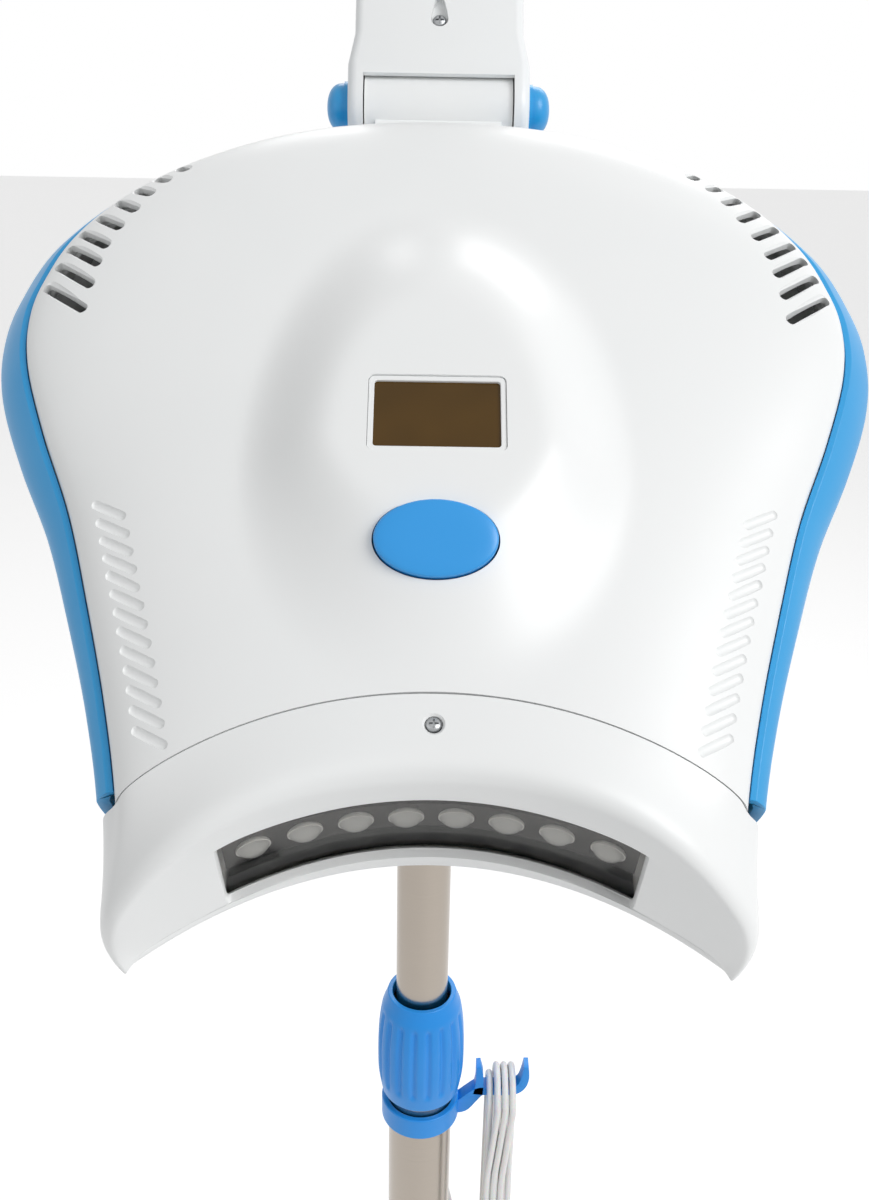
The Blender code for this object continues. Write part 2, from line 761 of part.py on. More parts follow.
def face_reach(x, h):
    """Distance of the outlet's curved face in front of the widest line."""
    bow = (x / NOSE_HALF_WIDTH) ** 2
    top = EDGE_REACH + EDGE_SWEEP * bow
    low = EDGE_LOW_REACH + EDGE_LOW_SWEEP * bow
    height = CENTRE_HEIGHT_NOSE + CENTRE_DEPTH_NOSE
    return mix(low, top, (h + CENTRE_DEPTH_NOSE) / height)


def window_edge(x, margin=0.0):
    """Heights of the window's lower and upper edge at x."""
    bow = (x / WINDOW_HALF_WIDTH) ** 2
    return (WINDOW_BOTTOM - WINDOW_BOTTOM_ARCH * bow - margin, WINDOW_TOP - WINDOW_TOP_ARCH * bow + margin)


def window_ring(behind=0.0):
    """Window outline with as many points as a nose section."""
    ring = []
    for k in range(GRID_ACROSS + 1):
        x = spread(k, GRID_ACROSS) * WINDOW_HALF_WIDTH
        ring.append((x, window_edge(x)[1]))
    low, high = window_edge(WINDOW_HALF_WIDTH)
    ring += [(WINDOW_HALF_WIDTH, mix(high, low, k / SIDE_STEPS)) for k in range(1, SIDE_STEPS)]
    for k in range(GRID_ACROSS, -1, -1):
        x = spread(k, GRID_ACROSS) * WINDOW_HALF_WIDTH
        ring.append((x, window_edge(x)[0]))
    ring += [(-WINDOW_HALF_WIDTH, mix(low, high, k / SIDE_STEPS)) for k in range(1, SIDE_STEPS)]
    return [Vector((x, face_reach(x, h) - behind, h)) for x, h in ring]


def curved_plate(half_width, edges, behind, thickness, steps=GRID_ACROSS):
    """A plate that follows the outlet's curve, edges(x) giving its lower and upper edge."""
    rings = []
    for k in range(steps + 1):
        x = half_width * (2 * k / steps - 1)
        low, high = edges(x)
        rings.append([
            head_point(x, face_reach(x, low) - behind, low),
            head_point(x, face_reach(x, high) - behind, high),
            head_point(x, face_reach(x, high) - behind - thickness, high),
            head_point(x, face_reach(x, low) - behind - thickness, low),
        ])
    return loft(bmesh.new(), rings)


def surface_place(place, u, t, forward=(0, -1, 0)):
    """Matrix on a surface: Z along its outward normal, Y as near forward as it can be."""
    p = place(u, t)
    du = place(u + FINE * 10, t) - place(u - FINE * 10, t)
    dt = place(u, t + FINE * 10) - place(u, t - FINE * 10)
    normal = du.cross(dt).normalized()
    if normal.z < 0:
        normal = -normal
    ahead = Vector(forward)
    ahead = (ahead - normal * ahead.dot(normal)).normalized()
    across = ahead.cross(normal)
    return Matrix(((across.x, ahead.x, normal.x, p.x), (across.y, ahead.y, normal.y, p.y),
                   (across.z, ahead.z, normal.z, p.z), (0, 0, 0, 1)))


def middle_place(s):
    """Matrix on the cover's middle line, s in front of the widest line."""
    low, high = 0.0, 1.0
    for _ in range(SEARCH_STEPS):
        t = (low + high) / 2
        if plan(0, t).y < s:
            low = t
        else:
            high = t
    return surface_place(top_point, 0.0, t)


def stadium(width, length, steps):
    """Outline of a slot with round ends, along Y."""
    r = width / 2
    points = []
    for k in range(steps + 1):
        a = math.pi * k / steps
        points.append((r * math.cos(a), length / 2 - r + r * math.sin(a)))
    for k in range(steps + 1):
        a = math.pi + math.pi * k / steps
        points.append((r * math.cos(a), -length / 2 + r + r * math.sin(a)))
    return points


def placed_prism(bm, outline_points, low, high, matrix):
    return prism(bm, [matrix @ Vector((x, y, low)) for x, y in outline_points],
                 matrix.to_3x3() @ Vector((0, 0, high - low)))


def leg_angle(k):
    """The first leg points to the rear, so that the base is alike on both sides."""
    return math.pi / 2 + math.tau * k / LEG_COUNT


WHEEL_CENTRE = WHEEL_RADIUS * math.cos(math.pi / WHEEL_STEPS)
STEM_BASE = WHEEL_RADIUS + FORK_HOOD
LEG_BASE = STEM_BASE + STEM_COLLAR + GAP
HUB_BASE = LEG_BASE - HUB_FLOOR
HUB_TOP = LEG_BASE + LEG_ROOT_HEIGHT + HUB_CROWN


def make_base(white, grey, black):
    bm = bmesh.new()
    bore = OUTER_TUBE_RADIUS + GAP
    seat = HUB_BASE + HUB_FLOOR
    turned(bm, [(bore, seat), (bore, HUB_TOP), (HUB_RADIUS - HUB_EDGE, HUB_TOP),
                (HUB_RADIUS, HUB_TOP - HUB_EDGE), (HUB_RADIUS, HUB_BASE), (0, HUB_BASE), (0, seat)], ROUND)
    hub = solid("base_hub", bm, white)
    slots = bmesh.new()
    for k in range(LEG_COUNT):
        turn = Matrix.Rotation(leg_angle(k), 4, "Z")
        half = LEG_ROOT_WIDTH / 2 + GAP
        bmesh.ops.create_cube(slots, size=1.0, matrix=turn @ Matrix.Translation(
            (LEG_ROOT - GAP + OVERRUN * 2, 0, LEG_BASE + LEG_ROOT_HEIGHT / 2)) @ Matrix.Diagonal(
            (OVERRUN * 4, half * 2, LEG_ROOT_HEIGHT + 2 * GAP, 1)))
    combine(hub, helper("hub_slots", slots))

    tip = LEG_REACH
    for k in range(LEG_COUNT):
        stand = empty(f"leg_{k + 1}_axis", (0, 0, 0), (0, 0, leg_angle(k)))
        bm = bmesh.new()
        rings = []
        sections = [(LEG_ROOT, LEG_ROOT_WIDTH, LEG_ROOT_HEIGHT),
                    (HUB_RADIUS + LEG_EDGE, LEG_ROOT_WIDTH, LEG_ROOT_HEIGHT)]
        sections += [(mix(HUB_RADIUS, tip, along), mix(LEG_ROOT_WIDTH, LEG_TIP_WIDTH, wide),
                      mix(LEG_ROOT_HEIGHT, LEG_TIP_HEIGHT, high)) for along, wide, high in LEG_RING_SHARES]
        sections += [(tip + LEG_TIP_WIDTH * along, LEG_TIP_WIDTH * wide, LEG_TIP_HEIGHT * high)
                     for along, wide, high in LEG_NOSE_SHARES]
        for x, width, height in sections:
            w, e = width / 2, LEG_EDGE
            rings.append([(x, -w, LEG_BASE), (x, w, LEG_BASE), (x, w, LEG_BASE + height - e),
                          (x, w - e, LEG_BASE + height), (x, e - w, LEG_BASE + height),
                          (x, -w, LEG_BASE + height - e)])
        leg = solid(f"base_leg_{k + 1}", loft(bm, rings), white, stand)
        socket_depth = STEM_LENGTH - STEM_COLLAR + GAP
        socket = helper(f"leg_socket_{k + 1}", rod(
            bmesh.new(), STEM_RADIUS + RUN, socket_depth + OVERRUN, (tip, 0, LEG_BASE - OVERRUN)), stand)
        combine(leg, socket)

        swivel = empty(f"caster_swivel_{k + 1}_axis", (tip, 0, STEM_BASE), parent=stand)
        web = bmesh.new()
        half = FORK_WEB / 2
        r = AXLE_RADIUS * AXLE_BOSS_SHARE
        drop = WHEEL_CENTRE - STEM_BASE
        hood = WHEEL_RADIUS + STEM_COLLAR
        outline = [(-STEM_COLLAR_RADIUS, -half, 0)]
        outline += [(CASTER_TRAIL + r * math.cos(a), -half, drop + r * math.sin(a))
                    for a in (math.radians(d) for d in (190, 225, 270, 315, 360))]
        outline += [(CASTER_TRAIL + hood * math.cos(a), -half, drop + hood * math.sin(a))
                    for a in (math.radians(d) for d in (20, 40, 58))]
        outline += [(STEM_COLLAR_RADIUS, -half, 0)]
        prism(web, outline, (0, FORK_WEB, 0))
        fork = solid(f"caster_fork_{k + 1}", web, black, swivel)
        stem = bmesh.new()
        turned(stem, [(0, -STEM_COLLAR), (STEM_COLLAR_RADIUS, -STEM_COLLAR), (STEM_COLLAR_RADIUS, STEM_COLLAR),
                      (STEM_RADIUS, STEM_COLLAR), (STEM_RADIUS, STEM_LENGTH), (0, STEM_LENGTH)], SMALL_ROUND)
        combine(fork, helper(f"caster_stem_{k + 1}", stem, swivel), "UNION")
        combine(fork, helper(f"axle_bore_{k + 1}", rod(
            bmesh.new(), AXLE_RADIUS + RUN, FORK_WEB + 2 * OVERRUN, (CASTER_TRAIL, -half - OVERRUN, drop),
            (0, 1, 0)), swivel))

        rolling = empty(f"caster_wheel_{k + 1}_axis", (CASTER_TRAIL, 0, drop), parent=swivel)
        inner, outer = WHEEL_GAP / 2, WHEEL_GAP / 2 + WHEEL_WIDTH
        bm = bmesh.new()
        turned(bm, [(0, -outer), (WHEEL_RADIUS - WHEEL_EDGE, -outer), (WHEEL_RADIUS, WHEEL_EDGE - outer),
                    (WHEEL_RADIUS, -inner), (AXLE_RADIUS, -inner), (AXLE_RADIUS, inner), (WHEEL_RADIUS, inner),
                    (WHEEL_RADIUS, outer - WHEEL_EDGE), (WHEEL_RADIUS - WHEEL_EDGE, outer), (0, outer)],
               WHEEL_STEPS, axis=(0, 1, 0), phase=math.pi / WHEEL_STEPS)
        solid(f"caster_wheel_{k + 1}", bm, grey, rolling)

    bm = bmesh.new()
    r = OUTER_TUBE_RADIUS + RUN
    z = HUB_TOP + GAP
    wall = HUB_COVER_WALL
    near, middle, far = [r + wall * share for share in HUB_COVER_SHARES]
    knee = z + HUB_COVER_RISE * HUB_COVER_KNEE_SHARE
    top = z + HUB_COVER_RISE
    rim = HUB_COVER_RADIUS
    turned(bm, [(r, top - wall), (r, top), (near, top), (far, knee), (rim - wall * 2, z + wall), (rim, z - GAP),
                (rim, z - HUB_COVER_SKIRT), (rim - wall, z - HUB_COVER_SKIRT), (rim - wall, z),
                (HUB_RADIUS - HUB_EDGE, z), (middle, knee - wall), (near, top - wall)], ROUND)
    solid("hub_cover", bm, white)


def tube(name, radius, wall, base, length, material, parent=None):
    bm = bmesh.new()
    turned(bm, [(radius - wall, base), (radius - wall, base + length), (radius, base + length), (radius, base)], ROUND)
    return solid(name, bm, material, parent)


OUTER_BASE = HUB_BASE + HUB_FLOOR + GAP
OUTER_TOP = OUTER_BASE + OUTER_TUBE_LENGTH
INNER_BASE = OUTER_TOP - TUBE_OVERLAP
INNER_TOP = INNER_BASE + INNER_TUBE_LENGTH
COLLAR_TOP = OUTER_TOP + COLLAR_TOP_ABOVE_TUBE
COLLAR_BASE = COLLAR_TOP - COLLAR_HEIGHT


def make_column(steel, blue, white, black):
    tube("outer_tube", OUTER_TUBE_RADIUS, OUTER_TUBE_WALL, OUTER_BASE, OUTER_TUBE_LENGTH, steel)
    mast = empty("column_slide_axis", (0, 0, OUTER_TOP))
    tube("inner_tube", INNER_TUBE_RADIUS, INNER_TUBE_WALL, INNER_BASE - OUTER_TOP, INNER_TUBE_LENGTH, steel, mast)

    bm = bmesh.new()
    foot = INNER_BASE - GAP - OUTER_TOP
    inside = INNER_TUBE_RADIUS - INNER_TUBE_WALL - GAP
    around = OUTER_TUBE_RADIUS - OUTER_TUBE_WALL - RUN
    turned(bm, [(0, foot - GUIDE_FLANGE), (around, foot - GUIDE_FLANGE), (around, foot), (inside, foot),
                (inside, foot + GUIDE_STEM), (0, foot + GUIDE_STEM)], ROUND)
    solid("tube_guide", bm, black, mast)

    bm = bmesh.new()
    base = OUTER_TOP + GAP
    bore = INNER_TUBE_RADIUS + RUN
    turned(bm, [(bore, base), (bore, base + COLLET_HEIGHT), (bore + COLLET_WALL * COLLET_TOP_SHARE, base + COLLET_HEIGHT),
                (bore + COLLET_WALL, base)], ROUND)
    collet = solid("collet", bm, black)
    slot_top = base + COLLET_HEIGHT + OVERRUN
    combine(collet, helper("collet_slot", block(
        bmesh.new(), (0, -COLLET_SLOT / 2, base - OVERRUN), (OVERRUN * 3, COLLET_SLOT / 2, slot_top))))

    twist = empty("collar_twist_axis", (0, 0, OUTER_TOP))
    top, base = COLLAR_TOP - OUTER_TOP, COLLAR_BASE - OUTER_TOP
    loose = OUTER_TUBE_RADIUS + RUN
    cavity = INNER_TUBE_RADIUS + RUN + COLLET_WALL + RUN
    mouth = INNER_TUBE_RADIUS + COLLAR_MOUTH_GAP
    outer = []
    for place, share in COLLAR_OUTLINE_SHARES:
        low = COLLAR_BOTTOM_RADIUS if place < 0.5 else COLLAR_TOP_RADIUS
        outer.append((mix(low, COLLAR_RADIUS, share), base + place * COLLAR_HEIGHT))
    inner = [(mouth, top), (mouth, top - COLLAR_LIP), (cavity, top - COLLAR_LIP - GAP), (cavity, GAP), (loose, 0),
             (loose, base)]
    bm = bmesh.new()
    turned(bm, outer + inner, COLLAR_FLUTES * 3)
    for v in bm.verts:
        r = math.hypot(v.co.x, v.co.y)
        share = (v.co.z - base) / COLLAR_HEIGHT
        if r < cavity + GAP or not FLUTE_START_SHARE < share < FLUTE_END_SHARE:
            continue
        turn = math.atan2(v.co.y, v.co.x) * COLLAR_FLUTES
        sink = FLUTE_DEPTH * max(0.0, math.cos(turn)) ** FLUTE_POWER_SHARE
        v.co.x *= (r - sink) / r
        v.co.y *= (r - sink) / r
    solid("lock_collar", bm, blue, twist)


GLAND_HEIGHT = OUTER_TOP - GLAND_DROP
SHOULDER_HEIGHT = INNER_TOP + SHOULDER_ABOVE_TUBE
HOOK_TOP = COLLAR_BASE - HOOK_DROP
CRADLE_FLOOR = HOOK_TOP + HOOK_CRADLE_RISE
CRADLE_START = HOOK_CRADLE_START
CRADLE_END = CRADLE_START + HOOK_CRADLE_WIDTH


def make_hook(blue):
    base = HOOK_TOP - HOOK_RING_HEIGHT
    bore = OUTER_TUBE_RADIUS + GAP
    bm = bmesh.new()
    edge = HOOK_RING_WALL / 4
    turned(bm, [(bore, base), (bore, HOOK_TOP), (bore + HOOK_RING_WALL - edge, HOOK_TOP),
                (bore + HOOK_RING_WALL, HOOK_TOP - edge), (bore + HOOK_RING_WALL, base + edge),
                (bore + HOOK_RING_WALL - edge, base)], ROUND)
    hook = solid("cable_hook", bm, blue)
    half = HOOK_STRAP / 2
    start = bore + HOOK_RING_WALL / 2
    across = {"root": start, "strap": start + HOOK_STRAP_HEIGHT * STRAP_FOOT_SHARE,
              "neck": start + HOOK_STRAP_HEIGHT * STRAP_TOP_SHARE, "near": CRADLE_START, "far": CRADLE_END}
    up = {"base": base + edge, "under": CRADLE_FLOOR - HOOK_STRAP_HEIGHT * STRAP_UNDER_SHARE, "floor": CRADLE_FLOOR,
          "tip": CRADLE_FLOOR + HOOK_HORN, "top": HOOK_TOP - edge}
    shape = [(across[a] + HOOK_HORN_WIDTH * out, -half, up[b] + HOOK_HORN_WIDTH * rise)
             for a, out, b, rise in HOOK_OUTLINE_SHARES]
    arm = prism(bmesh.new(), shape, (0, HOOK_STRAP, 0))
    combine(hook, helper("hook_arm", arm), "UNION")
    combine(hook, helper("hook_bore", rod(bmesh.new(), bore, HOOK_RING_HEIGHT + 2 * OVERRUN, (0, 0, base - OVERRUN),
                                          steps=ROUND)))


# The cord: it leaves a gland behind the outer tube, hangs in a bend, and goes up into a
# hank of loops laid over the hook's cradle, two layers deep. Its plug hangs from the last.
FOLD_CENTRE = CRADLE_FLOOR - math.sqrt((HANK_FOLD_RADIUS - CORD_RADIUS - GAP) ** 2 - (HOOK_STRAP / 2 + GAP) ** 2)
LEG_END = FOLD_CENTRE - HANK_LEG
SLOT_START = CRADLE_START + (HOOK_CRADLE_WIDTH - (HANK_SLOTS - 1) * STRAND_PITCH) / 2


def slot_x(slot):
    return SLOT_START + slot * STRAND_PITCH


def hank_points():
    """Centre line of the hank, 24 points a loop."""
    legs = len(HANK_CLIMB_SHARES)
    bends = HANK_LOOP_POINTS // 2 - legs
    points = []
    passes = [(slot, 0, slot + 1, 0) for slot in range(HANK_SLOTS - 1)]
    passes += [(HANK_SLOTS - 1, 0, HANK_SLOTS - 1, 1)]
    passes += [(slot, 1, slot - 1, 1) for slot in range(HANK_SLOTS - 1, 0, -1)]
    for n, (slot, layer, next_slot, next_layer) in enumerate(passes):
        r = HANK_FOLD_RADIUS + layer * STRAND_PITCH
        after = HANK_FOLD_RADIUS + next_layer * STRAND_PITCH
        x, next_x = slot_x(slot), slot_x(next_slot)
        for k in range(legs):
            points.append(Vector((x, r, LEG_END + HANK_LEG * k / legs)))
        for k in range(bends):
            a = math.pi * k / bends
            points.append(Vector((x, r * math.cos(a), FOLD_CENTRE + r * math.sin(a))))
        for k in range(legs):
            share = k / legs
            climb = HANK_CLIMB_SHARES[k]
            shift = HANK_SHIFT_SHARES[layer][k]
            points.append(Vector((mix(x, next_x, shift), -mix(r, after, climb), FOLD_CENTRE - HANK_LEG * share)))
        if n == len(passes) - 1:
            points.append(Vector((next_x, -after, LEG_END)))
            continue
        for k in range(bends):
            a = math.pi * k / bends
            points.append(Vector((next_x, -after * math.cos(a), LEG_END - after * math.sin(a))))
    return points


def least_gap(points, radius):
    """Least distance, face to face, between stretches of a path that aren't neighbours."""
    fine = []
    for a, b in zip(points, points[1:]):
        fine += [a, a.lerp(b, 1 / 4), a.lerp(b, 1 / 2), a.lerp(b, 3 / 4)]
    apart = [0.0]
    for a, b in zip(fine, fine[1:]):
        apart.append(apart[-1] + (b - a).length)
    least = min((fine[i] - fine[j]).length for i in range(0, len(fine), 2) for j in range(i + 1, len(fine))
                if apart[j] - apart[i] > radius * 12)
    return least - 2 * radius


def tube_along(name, points, radius, sides, material):
    """A curve with a round bevel and filled caps."""
    curve = bpy.data.curves.new(name, "CURVE")
    curve.dimensions = "3D"
    curve.bevel_depth = radius
    curve.bevel_resolution = sides
    curve.use_fill_caps = True
    curve.resolution_u = 1
    curve.render_resolution_u = 0
    curve.twist_mode = "MINIMUM"
    spline = curve.splines.new("POLY")
    spline.points.add(len(points) - 1)
    for point, place in zip(spline.points, points):
        point.co = (*place, 1.0)
    curve.materials.append(material)
    return link(bpy.data.objects.new(name, curve))


# Across, behind the column and above the gland
LEAD_ROUTE = [(0.0000, 0.0290, 0.0000), (0.0000, 0.0330, 0.0000), (0.0008, 0.0385, -0.0008),
              (0.0022, 0.0450, -0.0045), (0.0040, 0.0500, -0.0120), (0.0062, 0.0525, -0.0230),
              (0.0086, 0.0523, -0.0360), (0.0114, 0.0498, -0.0500), (0.0148, 0.0450, -0.0640),
              (0.0188, 0.0385, -0.0775), (0.0234, 0.0305, -0.0890), (0.0282, 0.0220, -0.0958),
              (0.0322, 0.0150, -0.0955), (0.0346, 0.0114, -0.0890), (0.0351, 0.0105, -0.0820),
              (0.0351, 0.0105, -0.0775)]


def make_cord(white, black):
    start = OUTER_TUBE_RADIUS + GAP
    bm = bmesh.new()
    steps = [(GLAND_RADIUS * wide, GLAND_LENGTH * along) for wide, along in GLAND_SHARES]
    turned(bm, [(0, 0), (steps[0][0], 0)] + steps + [(CORD_RADIUS * GLAND_TIP_SHARE, GLAND_LENGTH), (0, GLAND_LENGTH)],
           SMALL_ROUND, (0, start, GLAND_HEIGHT), (0, 1, 0))
    solid("cord_gland", bm, white)

    points = hank_points()
    print("hank least gap, mm:", round(least_gap(points, CORD_RADIUS) * 1000, 2))
    print("hank length, m:", round(sum((b - a).length for a, b in zip(points, points[1:])), 3))
    tube_along("cord_hank", points, CORD_RADIUS, 1, white)
    first, last = points[0], points[-1]

    route, length = curve_through([(x, y, GLAND_HEIGHT + z) for x, y, z in LEAD_ROUTE], LEAD_POINTS)
    route[0] = Vector((0, start + GLAND_LENGTH + GAP, GLAND_HEIGHT))
    route[-1] = first - Vector((0, 0, GAP))
    route[-2] = first - Vector((0, 0, GAP + CORD_RADIUS * 3))
    print("lead length, m:", round(length, 3), "hank starts at", [round(v, 4) for v in first],
          "ends at", [round(v, 4) for v in last])
    tube_along("cord_lead", route, CORD_RADIUS, 2, white)
    tail = [last - Vector((0, 0, GAP + TAIL_LENGTH * k / TAIL_STEPS)) for k in range(TAIL_STEPS + 1)]
    tube_along("cord_tail", tail, CORD_RADIUS, 2, white)
    top = tail[-1] - Vector((0, 0, GAP))
    r = PLUG_RADIUS
    tip = PLUG_TIP_RADIUS
    end = PLUG_LENGTH
    bm = bmesh.new()
    relief = [(CORD_RADIUS * wide, -end * along) for wide, along in PLUG_SHARES]
    turned(bm, [(0, 0)] + relief + [(r, -end * PLUG_SHOULDER_SHARE), (r, -end + tip / 2), (r - tip / 2, -end),
                                    (tip, -end), (tip, -end - PLUG_TIP_LENGTH), (tip / 2, -end - PLUG_TIP_LENGTH),
                                    (tip / 2, -end - tip), (0, -end - tip)], SMALL_ROUND, top, (0, 0, 1))
    solid("cord_plug", bm, black)


def arm_beam(width, start, end, edge=ARM_EDGE):
    """A beam along Z with round ends about both pivots, softened along its long edges."""
    r = ARM_DEPTH / 2
    shape = []
    for centre, first in ((end, 0.0), (start, math.pi)):
        for k in range(HALF_ROUND + 1):
            a = first + math.pi * k / HALF_ROUND
            shape.append((centre, math.cos(a), math.sin(a)))
    half = width / 2
    sides = [(-half + edge * inward, edge * shrink) for inward, shrink in ARM_EDGE_SHARES]
    sides += [(-x, shrink) for x, shrink in reversed(sides)]
    return loft(bmesh.new(), [[(x, (r - shrink) * y, centre + (r - shrink) * z) for centre, y, z in shape]
                              for x, shrink in sides])


def fork_slot(centre, reach, radius):
    """Cutter for the room between two cheeks, open past the end of the beam."""
    bm = bmesh.new()
    half = KNUCKLE_WIDTH / 2 + RUN
    low, high = sorted((centre - math.copysign(OVERRUN * 2, reach), centre + reach))
    block(bm, (-half, -radius - OVERRUN, low), (half, radius + OVERRUN, high))
    return bm


def bolt(name, material, parent, z=0.0):
    bm = rod(bmesh.new(), BOLT_RADIUS, KNUCKLE_WIDTH + 2 * CHEEK + 2 * RUN + 2 * CAP_SOCKET - 2 * GAP,
             (-(KNUCKLE_WIDTH / 2 + CHEEK + RUN + CAP_SOCKET - GAP), 0, z), (1, 0, 0))
    return solid(name, bm, material, parent)


def bolt_hole(name, parent, z=0.0, radius=BOLT_RADIUS + GAP):
    span = KNUCKLE_WIDTH + 4 * OVERRUN
    return helper(name, rod(bmesh.new(), radius, span, (-span / 2, 0, z), (1, 0, 0)), parent)


def caps(name, material, parent, z=0.0):
    """Domed caps over both ends of a pivot's bolt."""
    for side, word in ((-1, "left"), (1, "right")):
        x = side * (KNUCKLE_WIDTH / 2 + RUN + CHEEK + GAP)
        bm = bmesh.new()
        r, t, d = CAP_RADIUS, CAP_THICKNESS, CAP_DOME
        turned(bm, [(0, CAP_SOCKET), (BOLT_RADIUS + GAP, CAP_SOCKET), (BOLT_RADIUS + GAP, 0), (r, 0), (r, t - d),
                    (r - d * CAP_EDGE_SHARES[0], t - d * CAP_EDGE_SHARES[1]), (r - d, t), (0, t)],
               MIDDLE_ROUND, (x, 0, z), (side, 0, 0))
        solid(f"{name}_cap_{word}", bm, material, parent)


def arm_cover(name, width, start, end, side, material, parent, target):
    """A plate let into one face of a beam, and the recess for it."""
    half = width / 2 - ARM_COVER_MARGIN
    outer = side * ARM_DEPTH / 2
    inner = outer - side * ARM_COVER_DEPTH
    low, high = sorted((outer, inner))
    solid(name, block(bmesh.new(), (-half, low, start), (half, high, end)), material, parent)
    low, high = sorted((outer + side * OVERRUN, inner - side * GAP))
    recess = block(bmesh.new(), (-half - GAP, low, start - GAP), (half + GAP, high, end + GAP))
    combine(target, helper(name + "_recess", recess, parent))


def make_arm(steel, blue, white):
    mast_top = INNER_TOP
    mast = empty("mast_top", (0, 0, mast_top))
    bm = bmesh.new()
    pin_top = GAP + SPIGOT_FLANGE + SPIGOT_PIN
    turned(bm, [(0, -SPIGOT_LENGTH), (SPIGOT_RADIUS, -SPIGOT_LENGTH), (SPIGOT_RADIUS, GAP),
                (SPIGOT_FLANGE_RADIUS, GAP), (SPIGOT_FLANGE_RADIUS, GAP + SPIGOT_FLANGE),
                (SPIGOT_PIN_RADIUS, GAP + SPIGOT_FLANGE), (SPIGOT_PIN_RADIUS, pin_top), (0, pin_top)], MIDDLE_ROUND)
    solid("swivel_spigot", bm, steel, mast)

    swivel = empty("arm_swivel_axis", (0, 0, SHOULDER_HEIGHT))
    base = mast_top + GAP + SPIGOT_FLANGE + GAP - SHOULDER_HEIGHT
    half = KNUCKLE_WIDTH / 2 + RUN + CHEEK
    r = ARM_DEPTH / 2
    bm = bmesh.new()
    foot = half * FORK_FOOT_SHARE
    edge = half - CHEEK / 3
    shape = [(foot, base), (half, base + CHEEK), (half, r - CHEEK), (edge, r), (-edge, r), (-half, r - CHEEK),
             (-half, base + CHEEK), (-foot, base)]
    prism(bm, [(x, -r, z) for x, z in shape], (0, 2 * r, 0))
    fork = solid("swivel_fork", bm, white, swivel)
    clear = r + RUN
    inner = KNUCKLE_WIDTH / 2 + RUN
    combine(fork, helper("swivel_fork_slot", block(
        bmesh.new(), (-inner, -r - OVERRUN, -clear), (inner, r + OVERRUN, r + OVERRUN)), swivel))
    bore_depth = SPIGOT_PIN + 2 * GAP
    combine(fork, helper("swivel_fork_bore", rod(
        bmesh.new(), SPIGOT_PIN_RADIUS + RUN, bore_depth + OVERRUN, (0, 0, base - OVERRUN), steps=ROUND), swivel))
    round_off = bmesh.new()
    for side in (-1, 1):
        corner = [(-half - OVERRUN, side * (r + OVERRUN), 0)]
        for k in range(FORK_ROUND + 1):
            a = math.pi / 2 * k / FORK_ROUND
            corner.append((-half - OVERRUN, side * (r + GAP / 2) * math.cos(a), (r + GAP / 2) * math.sin(a)))
        corner += [(-half - OVERRUN, 0, r + OVERRUN), (-half - OVERRUN, side * (r + OVERRUN), r + OVERRUN)]
        prism(round_off, corner, (2 * half + 2 * OVERRUN, 0, 0))
    combine(fork, helper("swivel_fork_round", round_off, swivel))
    combine(fork, bolt_hole("shoulder_hole", swivel))
    bolt("shoulder_bolt", steel, swivel)
    caps("shoulder", blue, swivel)

    shoulder = empty("shoulder_tilt_axis", (0, 0, SHOULDER_HEIGHT), (-LOWER_ARM_LEAN, 0, 0))
    arm = solid("lower_arm", arm_beam(KNUCKLE_WIDTH, 0, LOWER_ARM_LENGTH), white, shoulder)
    combine(arm, bolt_hole("lower_arm_hole_1", shoulder, 0.0))
    combine(arm, bolt_hole("lower_arm_hole_2", shoulder, LOWER_ARM_LENGTH))
    margin = FORK_DEPTH + ARM_DEPTH / 2
    arm_cover("lower_arm_cover", KNUCKLE_WIDTH, margin, LOWER_ARM_LENGTH - margin, 1, white, shoulder, arm)

    fold = math.pi - FORE_ARM_LEAN + LOWER_ARM_LEAN
    elbow = empty("elbow_tilt_axis", (0, 0, LOWER_ARM_LENGTH), (fold, 0, 0), shoulder)
    width = KNUCKLE_WIDTH + 2 * RUN + 2 * CHEEK
    arm = solid("fore_arm", arm_beam(width, 0, FORE_ARM_LENGTH), white, elbow)
    combine(arm, helper("elbow_slot", fork_slot(0, FORK_DEPTH, ARM_DEPTH / 2), elbow))
    inner = KNUCKLE_WIDTH / 2 + RUN
    combine(arm, helper("arm_channel", block(
        bmesh.new(), (-inner, -ARM_DEPTH, -OVERRUN),
        (inner, ARM_DEPTH / 2 - CHANNEL_WEB, FORE_ARM_LENGTH * CHANNEL_SHARE)), elbow))
    combine(arm, helper("tilt_slot", fork_slot(FORE_ARM_LENGTH, -TILT_FORK_DEPTH, ARM_DEPTH / 2), elbow))
    combine(arm, bolt_hole("fore_arm_hole_1", elbow, 0.0))
    combine(arm, bolt_hole("fore_arm_hole_2", elbow, FORE_ARM_LENGTH))
    screw_z = FORE_ARM_LENGTH - ARM_SCREW_FROM_TILT
    tear = [(x, y if y < 0 else y * SCREW_TEAR_SHARE) for x, y in circle(ARM_SCREW_RADIUS)]
    recess = prism(bmesh.new(), [(x, ARM_DEPTH / 2 - ARM_SCREW_DEPTH, screw_z + z) for x, z in tear], (0, OVERRUN, 0))
    combine(arm, helper("arm_screw_recess", recess, elbow))
    arm_cover("fore_arm_cover", width, FORE_ARM_LENGTH * COVER_START_SHARE, FORE_ARM_LENGTH * COVER_END_SHARE,
              -1, white, elbow, arm)
    bolt("elbow_bolt", steel, elbow)
    caps("elbow", blue, elbow)
    tilt_set = empty("tilt_set", (0, 0, FORE_ARM_LENGTH), (0, 0, 0), elbow)
    bolt("tilt_bolt", steel, tilt_set)
    caps("tilt", blue, tilt_set)
    return empty("head_tilt_axis", (0, 0, FORE_ARM_LENGTH), (HEAD_SLOPE - (math.pi - FORE_ARM_LEAN), 0, 0), elbow)


